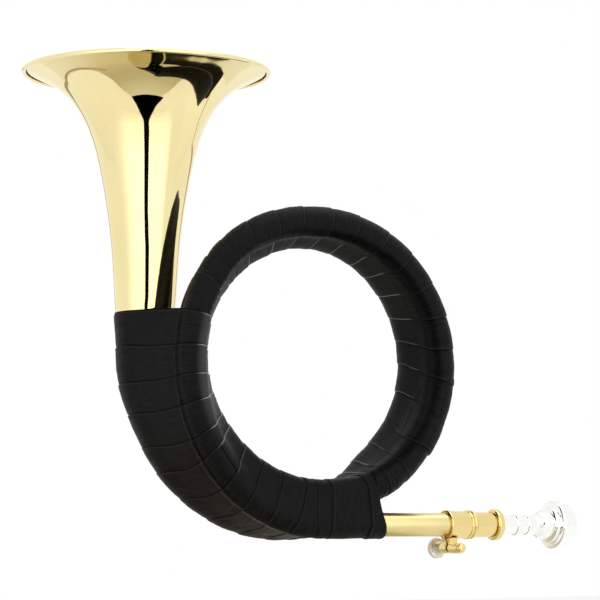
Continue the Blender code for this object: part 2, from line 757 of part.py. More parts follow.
def rod_cutter(name, radius, start, stop, sides, helpers, slide):
    """A rod along Y on the screw's axis."""
    bpy.ops.mesh.primitive_cylinder_add(vertices=sides, radius=radius, depth=stop - start)
    obj = bpy.context.object
    obj.name = name
    obj.location = (SCREW_OFFSET - SLEEVE_START, (start + stop) / 2, -SCREW_DROP)
    obj.rotation_euler = (pi / 2, 0.0, 0.0)
    return cutter(obj, helpers, slide)


def combine(obj, other, operation):
    step = obj.modifiers.new(other.name, "BOOLEAN")
    step.operation = operation
    step.object = other
    step.solver = "EXACT"


def make_sleeve(parts, helpers, slide):
    length = RECEIVER_START - SEAT_GAP - SLEEVE_START
    profile = walled([(SLEEVE_RADIUS, length), (SLEEVE_RADIUS, 0.0)], SLEEVE_WALL)
    sleeve = slide_piece("tuning_sleeve", profile, GOLD_BRASS, parts, slide)
    middle = SCREW_GAP_DEPTH
    slot = box_cutter(
        "sleeve_slot",
        (-MM, middle - SLEEVE_SLOT / 2, -SLEEVE_RADIUS - MM),
        (SLEEVE_SLOT_LENGTH, middle + SLEEVE_SLOT / 2, 0.0),
        helpers,
        slide,
    )
    combine(sleeve, slot, "DIFFERENCE")


def make_receiver(parts, slide):
    """A heavy ring with a spigot inside the sleeve; its taper holds the mouthpiece."""
    back = RECEIVER_START - SLEEVE_START
    face = back + RECEIVER_LENGTH
    spigot_radius = SLEEVE_BORE - SEAT_GAP
    profile = [
        (RECEIVER_RADIUS - RECEIVER_CHAMFER, face),
        (RECEIVER_RADIUS, face - RECEIVER_CHAMFER),
        (RECEIVER_RADIUS, back + RECEIVER_CHAMFER),
        (RECEIVER_RADIUS - RECEIVER_CHAMFER, back),
        (spigot_radius, back),
        (spigot_radius, back - RECEIVER_SPIGOT),
        (shank_radius(-RECEIVER_LENGTH - RECEIVER_SPIGOT) + SHANK_GAP, back - RECEIVER_SPIGOT),
        (SHANK_RADIUS + SHANK_GAP, face),
    ]
    slide_piece("receiver", profile, GOLD_BRASS, parts, slide)


def make_collar(parts, helpers, slide):
    """A split collar with a bead at each end and two ears for the screw."""
    bead = COLLAR_RADIUS + COLLAR_BEAD
    flank = COLLAR_BEAD_LENGTH / 4
    profile = [
        (COLLAR_RADIUS, COLLAR_LENGTH),
        (bead, COLLAR_LENGTH - flank),
        (bead, COLLAR_LENGTH - COLLAR_BEAD_LENGTH + flank),
        (COLLAR_RADIUS, COLLAR_LENGTH - COLLAR_BEAD_LENGTH),
        (COLLAR_RADIUS, COLLAR_BEAD_LENGTH),
        (bead, COLLAR_BEAD_LENGTH - flank),
        (bead, flank),
        (COLLAR_RADIUS, 0.0),
        (COLLAR_BORE, 0.0),
        (COLLAR_BORE, COLLAR_LENGTH),
    ]
    collar = slide_piece("clamp_collar", profile, GOLD_BRASS, parts, slide)
    near = SCREW_GAP_DEPTH - EAR_GAP / 2
    far = SCREW_GAP_DEPTH + EAR_GAP / 2
    screw_x = SCREW_OFFSET - SLEEVE_START
    ears = (("near", near - NEAR_EAR_LENGTH, near, -1), ("far", far, far + FAR_EAR_LENGTH, 1))
    for side, start, stop, way in ears:
        barrel = rod_cutter(f"{side}_ear", EAR_RADIUS, start, stop, SCREW_STEPS, helpers, slide)
        combine(collar, barrel, "UNION")
        inner = stop if way < 0 else start
        low, high = sorted((inner, inner + way * EAR_WEB_THICKNESS))
        web = box_cutter(
            f"{side}_web",
            (screw_x - EAR_WEB_WIDTH / 2, low, -SCREW_DROP),
            (screw_x + EAR_WEB_WIDTH / 2, high, -COLLAR_BORE),
            helpers,
            slide,
        )
        combine(collar, web, "UNION")
    split = box_cutter(
        "collar_split",
        (-MM, near, -COLLAR_RADIUS - COLLAR_BEAD - MM),
        (COLLAR_LENGTH + MM, far, 0.0),
        helpers,
        slide,
    )
    combine(collar, split, "DIFFERENCE")
    hole = rod_cutter(
        "ear_hole",
        SCREW_RADIUS + SEAT_GAP,
        near - NEAR_EAR_LENGTH - MM,
        far + FAR_EAR_LENGTH + MM,
        SCREW_STEPS,
        helpers,
        slide,
    )
    combine(collar, hole, "DIFFERENCE")


def make_screw(parts, helpers, slide):
    """The clamp screw, on its own axis: local Z runs away from the near side."""
    near = SCREW_GAP_DEPTH - EAR_GAP / 2 - NEAR_EAR_LENGTH - SEAT_GAP
    far = SCREW_GAP_DEPTH + EAR_GAP / 2 + FAR_EAR_LENGTH + SEAT_GAP
    head = far + SCREW_NECK_LENGTH
    profile = [
        (0.0, head + SCREW_HEAD_LENGTH / 2),
        (SCREW_NECK_RADIUS, head + SCREW_HEAD_LENGTH / 2),
        (SCREW_NECK_RADIUS, far),
        (SCREW_RADIUS, far),
        (SCREW_RADIUS, near),
        (SCREW_TIP_RADIUS, near),
        (SCREW_TIP_RADIUS, near - SCREW_TIP_LENGTH * 0.75),
        (SCREW_TIP_RADIUS * 0.7, near - SCREW_TIP_LENGTH),
        (0.0, near - SCREW_TIP_LENGTH),
    ]
    screw = turned("clamp_screw", profile, SCREW_STEPS)
    screw.location = (SCREW_OFFSET - SLEEVE_START, 0.0, -SCREW_DROP)
    screw.rotation_euler = (-pi / 2, 0.0, 0.0)
    place(screw, parts, slide, NICKEL)
    outline = bpy.data.curves.new("knurled_head", "CURVE")
    outline.dimensions = "2D"
    outline.fill_mode = "BOTH"
    outline.extrude = SCREW_HEAD_LENGTH / 2
    spline = outline.splines.new("POLY")
    spline.points.add(2 * KNURLS - 1)
    spline.use_cyclic_u = True
    for index, point in enumerate(spline.points):
        radius = SCREW_HEAD_RADIUS - KNURL_DEPTH * (index % 2)
        angle = pi * index / KNURLS
        point.co = (radius * cos(angle), radius * sin(angle), 0.0, 1.0)
    drawn = bpy.data.objects.new("knurled_head_outline", outline)
    helpers.objects.link(drawn)
    bpy.context.view_layer.update()
    graph = bpy.context.evaluated_depsgraph_get()
    mesh = bpy.data.meshes.new_from_object(drawn.evaluated_get(graph))
    bpy.data.objects.remove(drawn)
    caps = bmesh.new()
    caps.from_mesh(mesh)
    bmesh.ops.remove_doubles(caps, verts=caps.verts, dist=0.001 * MM)
    caps.to_mesh(mesh)
    caps.free()
    knurled = bpy.data.objects.new("knurled_head", mesh)
    cutter(knurled, helpers, screw)
    knurled.location = (0.0, 0.0, head + SCREW_HEAD_LENGTH / 2)
    combine(screw, knurled, "UNION")


def shank_radius(distance):
    """The shank's outer radius at a distance from the receiver's face, negative inside."""
    taper = (SHANK_RADIUS - SHANK_TIP_RADIUS) / SHANK_INSIDE
    return SHANK_RADIUS + taper * min(distance, 0.0)


def make_mouthpiece(parts, slide):
    """Turned in one piece: shank, bowl, flange and rim, with cup, throat and backbore."""
    outside = [(SHANK_TIP_RADIUS, -SHANK_INSIDE), (SHANK_RADIUS, 0.0)]
    outside += [(radius, distance) for distance, radius in MOUTHPIECE_OUTLINE]
    bore = [(radius, distance) for distance, radius in CUP_OUTLINE]
    bore.append((BACKBORE_TIP_RADIUS, -SHANK_INSIDE))
    mouthpiece = slide_piece(
        "mouthpiece", [*reversed(outside), *reversed(bore)], SILVER_PLATE, parts, slide
    )
    mouthpiece.location = (RECEIVER_FACE - SLEEVE_START, 0.0, 0.0)


def main():
    for obj in list(bpy.data.objects):
        bpy.data.objects.remove(obj, do_unlink=True)
    parts = new_collection("hunting_horn")
    helpers = new_collection("cutters")
    frame = bpy.data.objects.new("coil_centre", None)
    frame.location = -grip_point()
    parts.objects.link(frame)
    slide = bpy.data.objects.new("tuning_slide", None)
    parts.objects.link(slide)
    slide.parent = frame
    slide.location = (SLEEVE_START, 0.0, -LEADPIPE_DROP)
    make_bell(parts, frame)
    make_bows(parts, frame)
    make_ferrules(parts, frame)
    make_stays(parts, frame)
    make_leadpipe(parts, frame)
    make_wraps(parts, frame)
    make_sleeve(parts, helpers, slide)
    make_receiver(parts, slide)
    make_collar(parts, helpers, slide)
    make_screw(parts, helpers, slide)
    make_mouthpiece(parts, slide)


main()
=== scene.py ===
"""Looks of the hunting horn: polished brass, silver plate and a wound leather strip.

Metres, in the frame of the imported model: X runs along the leadpipe towards the mouthpiece,
Z is up, and the origin is the inner top of the coil. Sizes repeat those of the CAD source.
"""

from math import cos, pi, radians, sin, tau

import bmesh
import bpy
import numpy as np
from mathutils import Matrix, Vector


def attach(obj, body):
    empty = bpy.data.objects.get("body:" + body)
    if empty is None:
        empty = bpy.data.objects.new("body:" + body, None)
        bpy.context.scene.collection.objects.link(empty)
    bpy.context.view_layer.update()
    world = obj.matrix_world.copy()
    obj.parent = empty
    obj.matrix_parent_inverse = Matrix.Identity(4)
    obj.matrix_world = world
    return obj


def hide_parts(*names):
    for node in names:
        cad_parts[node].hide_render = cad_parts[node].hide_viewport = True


MM = 0.001

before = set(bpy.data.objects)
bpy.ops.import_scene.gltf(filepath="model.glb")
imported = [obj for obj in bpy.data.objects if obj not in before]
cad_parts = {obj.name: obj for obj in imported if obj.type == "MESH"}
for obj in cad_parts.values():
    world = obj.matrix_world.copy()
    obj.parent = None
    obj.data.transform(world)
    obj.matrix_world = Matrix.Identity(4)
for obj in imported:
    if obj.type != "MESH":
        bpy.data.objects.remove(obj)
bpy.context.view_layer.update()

# Where the coil's centre lies in the frame
CENTRE = np.array((0.0, -15.5, -60.4)) * MM

# Camera: azimuth and pitch in degrees, focal length in pixels of a 600-pixel picture
CAMERA_PLACE = np.array((-652.1, -1084.5, -81.9)) * MM
CAMERA_AZIMUTH = radians(-30.52)
CAMERA_PITCH = radians(5.17)
FOCAL_PIXELS = 2514.3
FRAME_PIXELS = 600
SENSOR = 36.0

# Sizes of the tubes, as in the CAD source: metres where MM stands, otherwise millimetres
LEADPIPE_DROP = 80.5 * MM
LEADPIPE_RADIUS = 6.0 * MM
BELL_OFFSET = 79.5 * MM
BELL_DEPTH = 40.0 * MM
WALL = 0.5
# Coil: turn, radius of the coil, depth, radius of the tube
COIL_STATIONS = np.array(
    (
        (0.00, 80.5, 0.0, 6.0),
        (0.25, 74.8, 0.0, 6.1),
        (0.37, 76.4, 0.0, 6.2),
        (0.50, 72.6, 0.0, 6.3),
        (0.75, 70.9, 1.0, 6.4),
        (0.88, 70.0, 2.0, 6.6),
        (1.00, 66.2, 4.0, 6.7),
        (1.12, 65.6, 9.5, 6.9),
        (1.25, 67.4, 14.7, 7.1),
        (1.37, 69.2, 15.1, 7.4),
        (1.50, 69.6, 15.5, 7.7),
        (1.75, 68.6, 17.2, 8.6),
        (1.88, 69.4, 23.5, 9.8),
        (1.94, 73.4, 25.0, 10.3),
        (2.00, 75.9, 27.0, 10.8),
        (2.08, 78.8, 30.0, 11.7),
        (2.14, 79.4, 33.0, 12.4),
        (2.19, 78.6, 36.0, 12.9),
        (2.25, 79.5, 40.0, 13.6),
    )
)
LAST_TURN = 2.25
# Bell: height and radius
BELL_STATIONS = (
    (0.0, 13.6), (20.0, 14.6), (32.6, 15.6), (44.7, 16.25), (56.8, 17.1),
    (68.9, 18.4), (81.1, 20.2), (93.2, 22.3), (105.3, 24.9), (117.6, 28.8),
    (124.0, 31.8), (130.3, 35.7), (136.8, 41.6), (141.5, 47.8),
)
BELL_RIM_HEIGHT = 148.6
BELL_RIM_RADIUS = 63.0
CURL_RADIUS = 0.65
CURL_DROP = 0.6
BELL_JOINT = 9.0
BELL_JOINT_TURN = LAST_TURN + BELL_JOINT * MM / (tau * BELL_OFFSET)
LEADPIPE_JOINT = 0.03 * tau * LEADPIPE_DROP / MM
FERRULE_LENGTH = 16.0
FERRULE_GAP = 0.3
TUBE_GAP = 0.5
SHOULDER = 1.2
DRAW_IN = 0.8
# The bell's axis from the coil's centre, and the sleeve's axis in the frame
BELL_AXIS = np.array((-BELL_OFFSET, BELL_DEPTH, 0.0))
SLEEVE_AXIS = CENTRE + np.array((0.0, 0.0, -LEADPIPE_DROP))

# Edges over this angle stay sharp; a path's direction is taken over twice this part of a turn
SHARP_ANGLE = radians(38)
WAY_STEP = 0.002

# Leather strip
LEATHER = 0.8 * MM
LIFT = 0.7 * MM + LEATHER
VALLEY_SAG = 2.2 * MM
WRAP_TOP = 28.0 * MM
WRAP_END = 34.0 * MM
WRAP_END_SLANT = radians(13.5)
SEAT_GAP = 0.3 * MM
BUNDLE_LAP = 17.0 * MM
RING_LAP = 19.0 * MM


def smooth_curve(places, values, level_ends):
    """A function through the values that is smooth and never overshoots them."""
    places, values = np.array(places, float), np.array(values, float)
    chords = np.diff(values) / np.diff(places)
    product = chords[:-1] * chords[1:]
    total = np.where(product > 0, chords[:-1] + chords[1:], 1)
    inner = np.where(product > 0, 2 * product / total, 0)
    first, last = (0.0, 0.0) if level_ends else (chords[0], chords[-1])
    slopes = np.concatenate(([first], inner, [last]))

    def value_at(place):
        place = np.clip(place, places[0], places[-1])
        index = np.clip(np.searchsorted(places, place, side="right") - 1, 0, len(chords) - 1)
        width = places[index + 1] - places[index]
        share = (place - places[index]) / width
        rest = 1 - share
        return (
            values[index] * (1 + 2 * share) * rest**2
            + values[index + 1] * (1 + 2 * rest) * share**2
            + width * share * rest * (slopes[index] * rest - slopes[index + 1] * share)
        )

    return value_at


coil_radius, coil_depth, coil_tube_radius = (
    smooth_curve(COIL_STATIONS[:, 0], COIL_STATIONS[:, column] * MM, level_ends=True)
    for column in (1, 2, 3)
)
CURL_CENTRE = (BELL_RIM_RADIUS - CURL_RADIUS - WALL, BELL_RIM_HEIGHT - WALL - CURL_DROP)
CURL = [
    (CURL_CENTRE[0] + CURL_RADIUS * np.cos(a), CURL_CENTRE[1] + CURL_RADIUS * np.sin(a))
    for a in np.radians(np.linspace(-157.5, 112.5, 25))
]
LIP = CURL[-1]
bell_radius = smooth_curve(
    [height for height, _ in BELL_STATIONS] + [LIP[1]],
    [radius for _, radius in BELL_STATIONS] + [LIP[0]],
    level_ends=False,
)


def path_points(turns):
    """Centres of the tube at some turns: straight, round the coil, then straight up."""
    turns = np.asarray(turns, float)
    angle = -pi / 2 - tau * turns
    radius = coil_radius(turns)
    points = np.stack((radius * np.cos(angle), coil_depth(turns), radius * np.sin(angle)), -1)
    before, after = turns < 0, turns > LAST_TURN
    points[before] = (0.0, 0.0, -LEADPIPE_DROP)
    points[before, 0] = -turns[before] * tau * LEADPIPE_DROP
    points[after] = (-BELL_OFFSET, BELL_DEPTH, 0.0)
    points[after, 2] = (turns[after] - LAST_TURN) * tau * BELL_OFFSET
    return points


def path_ways(turns):
    """Directions of the tube there."""
    ways = path_points(turns + WAY_STEP) - path_points(turns - WAY_STEP)
    return ways / np.linalg.norm(ways, axis=-1, keepdims=True)


def tube_radius(turns):
    """Radius of the tube there, or of the bell above it."""
    rise = (turns - LAST_TURN) * tau * BELL_OFFSET / MM
    return np.where(turns > LAST_TURN, bell_radius(rise) * MM, coil_tube_radius(turns))


def add_object(name, data):
    """A new object in the scene."""
    obj = bpy.data.objects.new(name, data)
    bpy.context.scene.collection.objects.link(obj)
    return obj


def new_object(name, mesh, body, material):
    """A piece that rides a body; the leather brings its own materials."""
    obj = add_object(name, mesh)
    if material is not None:
        mesh.materials.append(material)
    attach(obj, body)
    return obj


def mesh_of(name, points, faces):
    mesh = bpy.data.meshes.new(name)
    mesh.from_pydata([tuple(p) for p in points], [], faces)
    mesh.update()
    return mesh


def grid_faces(rows, columns, closed_rows, closed_columns):
    """Quads between the points of a grid, whose rows and columns may join up."""
    faces = []
    for i in range(rows if closed_rows else rows - 1):
        here, below = i * columns, (i + 1) % rows * columns
        for j in range(columns if closed_columns else columns - 1):
            k = (j + 1) % columns
            faces.append((here + j, here + k, below + k, below + j))
    return faces


def creased(mesh):
    """The mesh, shaded smooth but for its sharp edges."""
    mesh.shade_smooth()
    mesh.set_sharp_from_angle(angle=SHARP_ANGLE)
    return mesh


def lathe_mesh(name, profile, steps, place, axis):
    """A closed profile of (radius, distance) in mm turned about an axis through a place."""
    profile = np.array(profile, float) * MM
    count = len(profile)
    angles = tau * np.arange(steps) / steps
    radius, along = profile[:, 0], profile[:, 1]
    rows = np.zeros((steps, count, 3))
    first = "XYZ".index(axis)
    rows[..., first] = along
    rows[..., (first + 1) % 3] = np.cos(angles)[:, None] * radius
    rows[..., (first + 2) % 3] = np.sin(angles)[:, None] * radius
    rows += np.array(place)
    faces = []
    for i in range(steps):
        j = (i + 1) % steps
        for a in range(count):
            b = (a + 1) % count
            faces.append((i * count + a, j * count + a, j * count + b, i * count + b))
    mesh = mesh_of(name, rows.reshape(-1, 3), faces)
    edit = bmesh.new()
    edit.from_mesh(mesh)
    bmesh.ops.remove_doubles(edit, verts=edit.verts, dist=1e-7)
    bmesh.ops.dissolve_degenerate(edit, edges=edit.edges, dist=1e-8)
    bmesh.ops.recalc_face_normals(edit, faces=edit.faces)
    edit.to_mesh(mesh)
    edit.free()
    return creased(mesh)


def offset_line(line, wall):
    """The line moved by the wall to its inner side, as (radius, distance) points."""
    points = np.array(line, float)
    way = np.gradient(points, axis=0)
    way /= np.linalg.norm(way, axis=1, keepdims=True)
    return points + wall * np.stack((way[:, 1], -way[:, 0]), -1)


# Materials

# Sockets of a colour mix, depth of the polishing marks, and their stretch on turned pieces
MIX_FIRST, MIX_SECOND, MIX_RESULT = 6, 7, 2
POLISH_MARKS = 2e-7
SPUN = (40.0, 1.0, 1.0)
LEATHER_DARK = (0.0008, 0.0008, 0.0010, 1.0)
LEATHER_LIGHT = (0.0060, 0.0058, 0.0056, 1.0)
# Light grey that the edge attribute mixes into the leather: painted light, as a highlight on the laps'
# lips (partly edge wear) and as a lit band inside the coil
LEATHER_WEAR_AND_PAINTED_LIGHT = (0.55, 0.54, 0.53, 1.0)
# Specular levels of the leather copies, ever lower down in the valleys: painted shade
LEATHER_GLOSSES = (0.10, 0.082, 0.064, 0.046, 0.03)


class Shader:
    """Builds a node material round one Principled shader."""

    def __init__(self, name):
        self.material = bpy.data.materials.new(name)
        self.material.use_nodes = True
        self.tree = self.material.node_tree
        self.main = self.tree.nodes["Principled BSDF"]

    def put(self, socket, value):
        """Links a socket to the output of another node, or sets its value."""
        if isinstance(value, bpy.types.NodeSocket):
            self.tree.links.new(value, socket)
        else:
            socket.default_value = value

    def fill(self, node, values):
        """Fills sockets by their names, and properties that aren't sockets."""
        for key, value in values.items():
            name = key.replace("_", " ")
            if name in node.inputs.keys():
                self.put(node.inputs[name], value)
            else:
                setattr(node, key, value)

    def node(self, kind, **values):
        made = self.tree.nodes.new(kind)
        self.fill(made, values)
        return made

    def set(self, **values):
        self.fill(self.main, values)

    def place(self):
        return self.node("ShaderNodeTexCoord").outputs["Object"]

    def stretched(self, vector, scale):
        return self.node("ShaderNodeMapping", Vector=vector, Scale=scale).outputs["Vector"]

    def noise(self, vector, scale, detail, roughness=0.5):
        made = self.node("ShaderNodeTexNoise", Scale=scale, Detail=detail, Roughness=roughness)
        self.put(made.inputs["Vector"], vector)
        return made.outputs["Fac"]

    def ramp(self, factor, first, last):
        made = self.node("ShaderNodeValToRGB", Fac=factor)
        for element, stop in zip(made.color_ramp.elements, (first, last)):
            element.position, element.color = stop
        return made.outputs["Color"]

    def remap(self, factor, low, high):
        made = self.node("ShaderNodeMapRange", Value=factor, To_Min=low, To_Max=high)
        return made.outputs["Result"]

    def mix(self, blend, factor, first, second):
        made = self.node("ShaderNodeMix", data_type="RGBA", blend_type=blend, Factor=factor)
        self.put(made.inputs[MIX_FIRST], first)
        self.put(made.inputs[MIX_SECOND], second)
        return made.outputs[MIX_RESULT]

    def bump(self, height, distance, strength=1.0, **below):
        made = self.node("ShaderNodeBump", Height=height, Distance=distance, Strength=strength, **below)
        return made.outputs["Normal"]


def polished_metal(name, colour, deep, roughness, cloud, spun=(1.0, 1.0, 40.0)):
    """A polished, lacquered or plated metal: faint clouding and hairline polishing marks."""
    shader = Shader(name)
    place = shader.place()
    clouds = shader.noise(place, 28.0, 3.0)
    fine = shader.noise(place, 260.0, 4.0, 0.6)
    marks = shader.noise(shader.stretched(place, spun), 120.0, 3.0, 0.6)
    shader.set(
        Base_Color=shader.ramp(clouds, (0.35, (*deep, 1.0)), (0.62, (*colour, 1.0))),
        Roughness=shader.remap(fine, roughness - cloud, roughness + cloud),
        Normal=shader.bump(marks, POLISH_MARKS),
        Metallic=1.0,
    )
    return shader.material


def black_leather(name, gloss):
    """Thin goatskin: fine grain and creases along the strip; lighter where the edge attribute says, a
    painted highlight on the lips (partly edge wear) and a painted lit band inside the coil.
    """
    shader = Shader(name)
    place = shader.place()
    strip = shader.node("ShaderNodeAttribute", attribute_name="strip").outputs["Vector"]
    # The edge attribute: painted highlight on the lips, partly wear, and the painted light of the band
    # inside the coil
    edge = shader.node("ShaderNodeAttribute", attribute_name="edge").outputs["Fac"]
    drawn = shader.stretched(strip, (0.13, 1.0, 1.0))
    creases = shader.noise(drawn, 1050.0, 5.0, 0.66)
    folds = shader.noise(drawn, 260.0, 3.0, 0.55)
    sheen = shader.noise(drawn, 600.0, 4.0, 0.6)
    blotches = shader.noise(place, 55.0, 4.0, 0.6)
    pores = shader.node("ShaderNodeTexVoronoi", Vector=place, Scale=1500.0).outputs["Distance"]
    streaks = shader.ramp(creases, (0.40, LEATHER_DARK), (0.66, LEATHER_LIGHT))
    shades = shader.ramp(blotches, (0.30, (0.55, 0.55, 0.56, 1.0)), (0.70, (1.0, 1.0, 1.0, 1.0)))
    tone = shader.mix("MULTIPLY", 0.6, streaks, shades)
    grain = shader.bump(pores, 0.00005, 0.5)
    lined = shader.bump(creases, 0.00035, Normal=grain)
    shader.set(
        Base_Color=shader.mix("MIX", edge, tone, LEATHER_WEAR_AND_PAINTED_LIGHT),
        Roughness=shader.remap(sheen, 0.30, 0.62),
        Normal=shader.bump(folds, 0.00060, Normal=lined),
        Specular_IOR_Level=gloss,
    )
    return shader.material


LACQUERED = polished_metal(
    "lacquered_brass_polished", (0.90, 0.78, 0.42), (0.88, 0.75, 0.39), 0.045, 0.012
)
GOLD = polished_metal(
    "gold_brass_polished", (0.85, 0.68, 0.305), (0.82, 0.64, 0.27), 0.08, 0.02, SPUN
)
SATIN = polished_metal(
    "drawn_brass_satin", (0.78, 0.65, 0.32), (0.76, 0.63, 0.30), 0.32, 0.03, SPUN
)
BARE = polished_metal("bare_brass_dull", (0.62, 0.46, 0.20), (0.40, 0.28, 0.12), 0.38, 0.08)
SILVER = polished_metal(
    "silver_plate_polished", (0.95, 0.95, 0.92), (0.93, 0.93, 0.90), 0.05, 0.015, SPUN
)
# Leather on the open faces, then copies ever duller down in the valleys: painted shade between the tubes
LEATHER_LOOKS = [
    black_leather(f"black_leather_shade_level_{depth}", gloss)
    for depth, gloss in enumerate(LEATHER_GLOSSES)
]
VALLEY_SHADE_LEVELS = (0.12, 0.35, 0.6, 0.85)


# Leather winding


def eased(share):
    """From 0 to 1 with level ends."""
    share = np.clip(share, 0.0, 1.0)
    return share * share * (3 - 2 * share)


BUNDLE_REACH = LEADPIPE_DROP + LEADPIPE_RADIUS + LEATHER
RING_REACH = (COIL_STATIONS[2, 1] + COIL_STATIONS[2, 3]) * MM + LEATHER
BUNDLE_QUARTER = BUNDLE_REACH * pi / 2
WRAP_END_SHIFT = WRAP_END - LEADPIPE_DROP * np.tan(WRAP_END_SLANT)
BUNDLE_TAIL = WRAP_END_SHIFT + BUNDLE_REACH * WRAP_END_SLANT
BUNDLE_LENGTH = WRAP_TOP + BUNDLE_QUARTER + BUNDLE_TAIL
RING_LENGTH = (0.75 - WRAP_END_SLANT / tau) * tau * RING_REACH
# Turns of the ring where its planes stop being lifted and start being shifted, with the ease
LIFT_STOP, LIFT_EASE = 0.43, 0.18
SHIFT_START, SHIFT_EASE = 0.79, 0.17
# How far from a guess a crossing is looked for, and how often that is halved
SEARCH_REACH, SEARCH_STEPS = 0.13, 40


def bundle_plane(distance):
    """The planes that cut the three tubes at distances along the wrap from the bell's neck."""
    bent = distance - WRAP_TOP
    share = np.clip((bent - BUNDLE_QUARTER) / BUNDLE_TAIL, 0.0, 1.0)
    turn = 0.25 * (1 - np.clip(bent / BUNDLE_QUARTER, 0.0, 1.0)) - WRAP_END_SLANT / tau * share
    return turn, WRAP_END_SHIFT * share, np.maximum(-bent, 0.0)


def ring_plane(distance):
    """The same for the two tubes of the ring."""
    turn = 0.25 + distance / (tau * RING_REACH)
    lift = (WRAP_TOP + SEAT_GAP) * eased((LIFT_STOP - turn) / LIFT_EASE)
    shift = (WRAP_END_SHIFT + SEAT_GAP / cos(WRAP_END_SLANT)) * eased((turn - SHIFT_START) / SHIFT_EASE)
    return turn, shift, lift


def crossings(guess, base, normal):
    """The turns near the guesses where the tube's centre line crosses the planes."""
    low, high = guess - SEARCH_REACH, guess + SEARCH_REACH
    side = ((path_points(low) - base) * normal).sum(-1) > 0
    for _ in range(SEARCH_STEPS):
        middle = (low + high) / 2
        same = (((path_points(middle) - base) * normal).sum(-1) > 0) == side
        low = np.where(same, middle, low)
        high = np.where(same, high, middle)
    return (low + high) / 2


def cut_tubes(plane, extra_turns):
    """Where planes cut the tubes: centres and half widths, outwards and in depth."""
    turn, shift, lift = plane
    angle = -pi / 2 - tau * turn
    level = np.zeros_like(angle)
    base = np.stack((shift, level, lift), -1)
    outward = np.stack((np.cos(angle), level, np.sin(angle)), -1)
    normal = np.stack((-np.sin(angle), level, np.cos(angle)), -1)
    ellipses = []
    for extra in extra_turns:
        at = crossings(turn + extra, base, normal)
        centre = path_points(at) - base
        way = path_ways(at)
        through = np.abs((way * normal).sum(-1))
        radius = tube_radius(at)
        wide = radius * np.hypot(1.0, (way * outward).sum(-1) / through)
        deep = radius * np.hypot(1.0, way[:, 1] / through)
        ellipses.append(np.stack(((centre * outward).sum(-1), centre[:, 1], wide, deep), -1))
    return base, outward, np.stack(ellipses, 1)


def hull_reach(angles, ellipses):
    """How far the strip, stretched over the ellipses, lies from the origin."""
    facing = np.linspace(-pi, pi, 361)[:-1, None]
    out, deep, wide, tall = ellipses.T
    norm = np.hypot(wide * np.cos(facing), tall * np.sin(facing))
    support = out * np.cos(facing) + deep * np.sin(facing) + norm
    best = support.argmax(axis=1)
    rows = np.arange(len(best))
    x = (out + wide**2 * np.cos(facing) / norm)[rows, best]
    y = (deep + tall**2 * np.sin(facing) / norm)[rows, best]
    polar = np.unwrap(np.arctan2(y, x))
    x, y, polar = np.append(x, x[0]), np.append(y, y[0]), np.append(polar, polar[0] + tau)
    turned = polar[0] + (angles - polar[0]) % tau
    index = np.clip(np.searchsorted(polar, turned, side="right") - 1, 0, len(best) - 1)
    along_x, along_y = x[index + 1] - x[index], y[index + 1] - y[index]
    crossed = x[index] * along_y - y[index] * along_x
    return crossed / (np.cos(angles) * along_y - np.sin(angles) * along_x)


def tube_reach(angles, ellipses):
    """How far the tubes themselves lie from the origin."""
    far = np.zeros_like(angles)
    for out, deep, wide, tall in ellipses:
        a = np.cos(angles) ** 2 / wide**2 + np.sin(angles) ** 2 / tall**2
        b = out * np.cos(angles) / wide**2 + deep * np.sin(angles) / tall**2
        c = out**2 / wide**2 + deep**2 / tall**2 - 1
        inside = b * b - a * c
        far = np.maximum(far, np.where(inside > 0, (b + np.sqrt(np.abs(inside))) / a, 0.0))
    return far


def strip_reach(angles, ellipses, slack):
    """Reach of the strip's surface, lifted off the tubes and sunk between them."""
    grown = ellipses + np.array((0.0, 0.0, LIFT, LIFT))
    hull = hull_reach(angles, grown)
    spare = np.maximum(hull - tube_reach(angles, grown), 0.0)
    return hull - VALLEY_SAG * slack * (1 - np.exp(-spare / VALLEY_SAG))


def spread_angles(ellipses, count):
    """Ray angles that put the outline's points evenly by length, and the whole length."""
    fine = np.linspace(0.0, tau, 721)
    reach = strip_reach(fine, ellipses, 1.0)
    length = np.hypot(np.diff(reach * np.cos(fine)), np.diff(reach * np.sin(fine)))
    measure = np.append(0.0, np.cumsum(length))
    return np.interp(np.arange(count) * measure[-1] / count, measure, fine), measure[-1]


# Leather strip. Each row of a table is one exposed edge of the winding: how far along the
# wrap it lies, in mm, at some shares of the way round it from its outer side.
BUNDLE_SHARES = (0.67, 0.82, 0.875, 1.0, 1.12)
BUNDLE_EDGES = (
    (-7.0, -12.0, -13.0, -14.0, -14.0),
    (9.0, 5.0, 4.0, 3.0, 3.0),
    (22.5, 20.8, 20.9, 20.9, 19.9),
    (37.0, 36.0, 36.9, 38.2, 37.9),
    (50.5, 51.0, 52.3, 53.8, 52.8),
    (67.3, 68.6, 71.0, 71.8, 69.8),
    (77.8, 79.9, 82.7, 85.7, 83.7),
    (96.7, 98.7, 100.9, 103.7, 100.7),
    (115.0, 114.2, 115.9, 119.6, 117.6),
    (132.8, 130.7, 130.9, 135.6, 134.6),
    (151.2, 147.0, 145.6, 148.0, 149.0),
    (159.8, 158.7, 160.4, 161.5, 161.0),
    (170.5, 167.9, 167.5, 168.5, 168.5),
    (194.6, 192.4, 190.4, 190.0, 190.0),
    (211.0, 210.0, 209.0, 209.0, 209.0),
    (228.0, 227.0, 227.0, 227.0, 227.0),
)
RING_SHARES = (0.45, 0.56, 0.63, 0.70, 0.81)
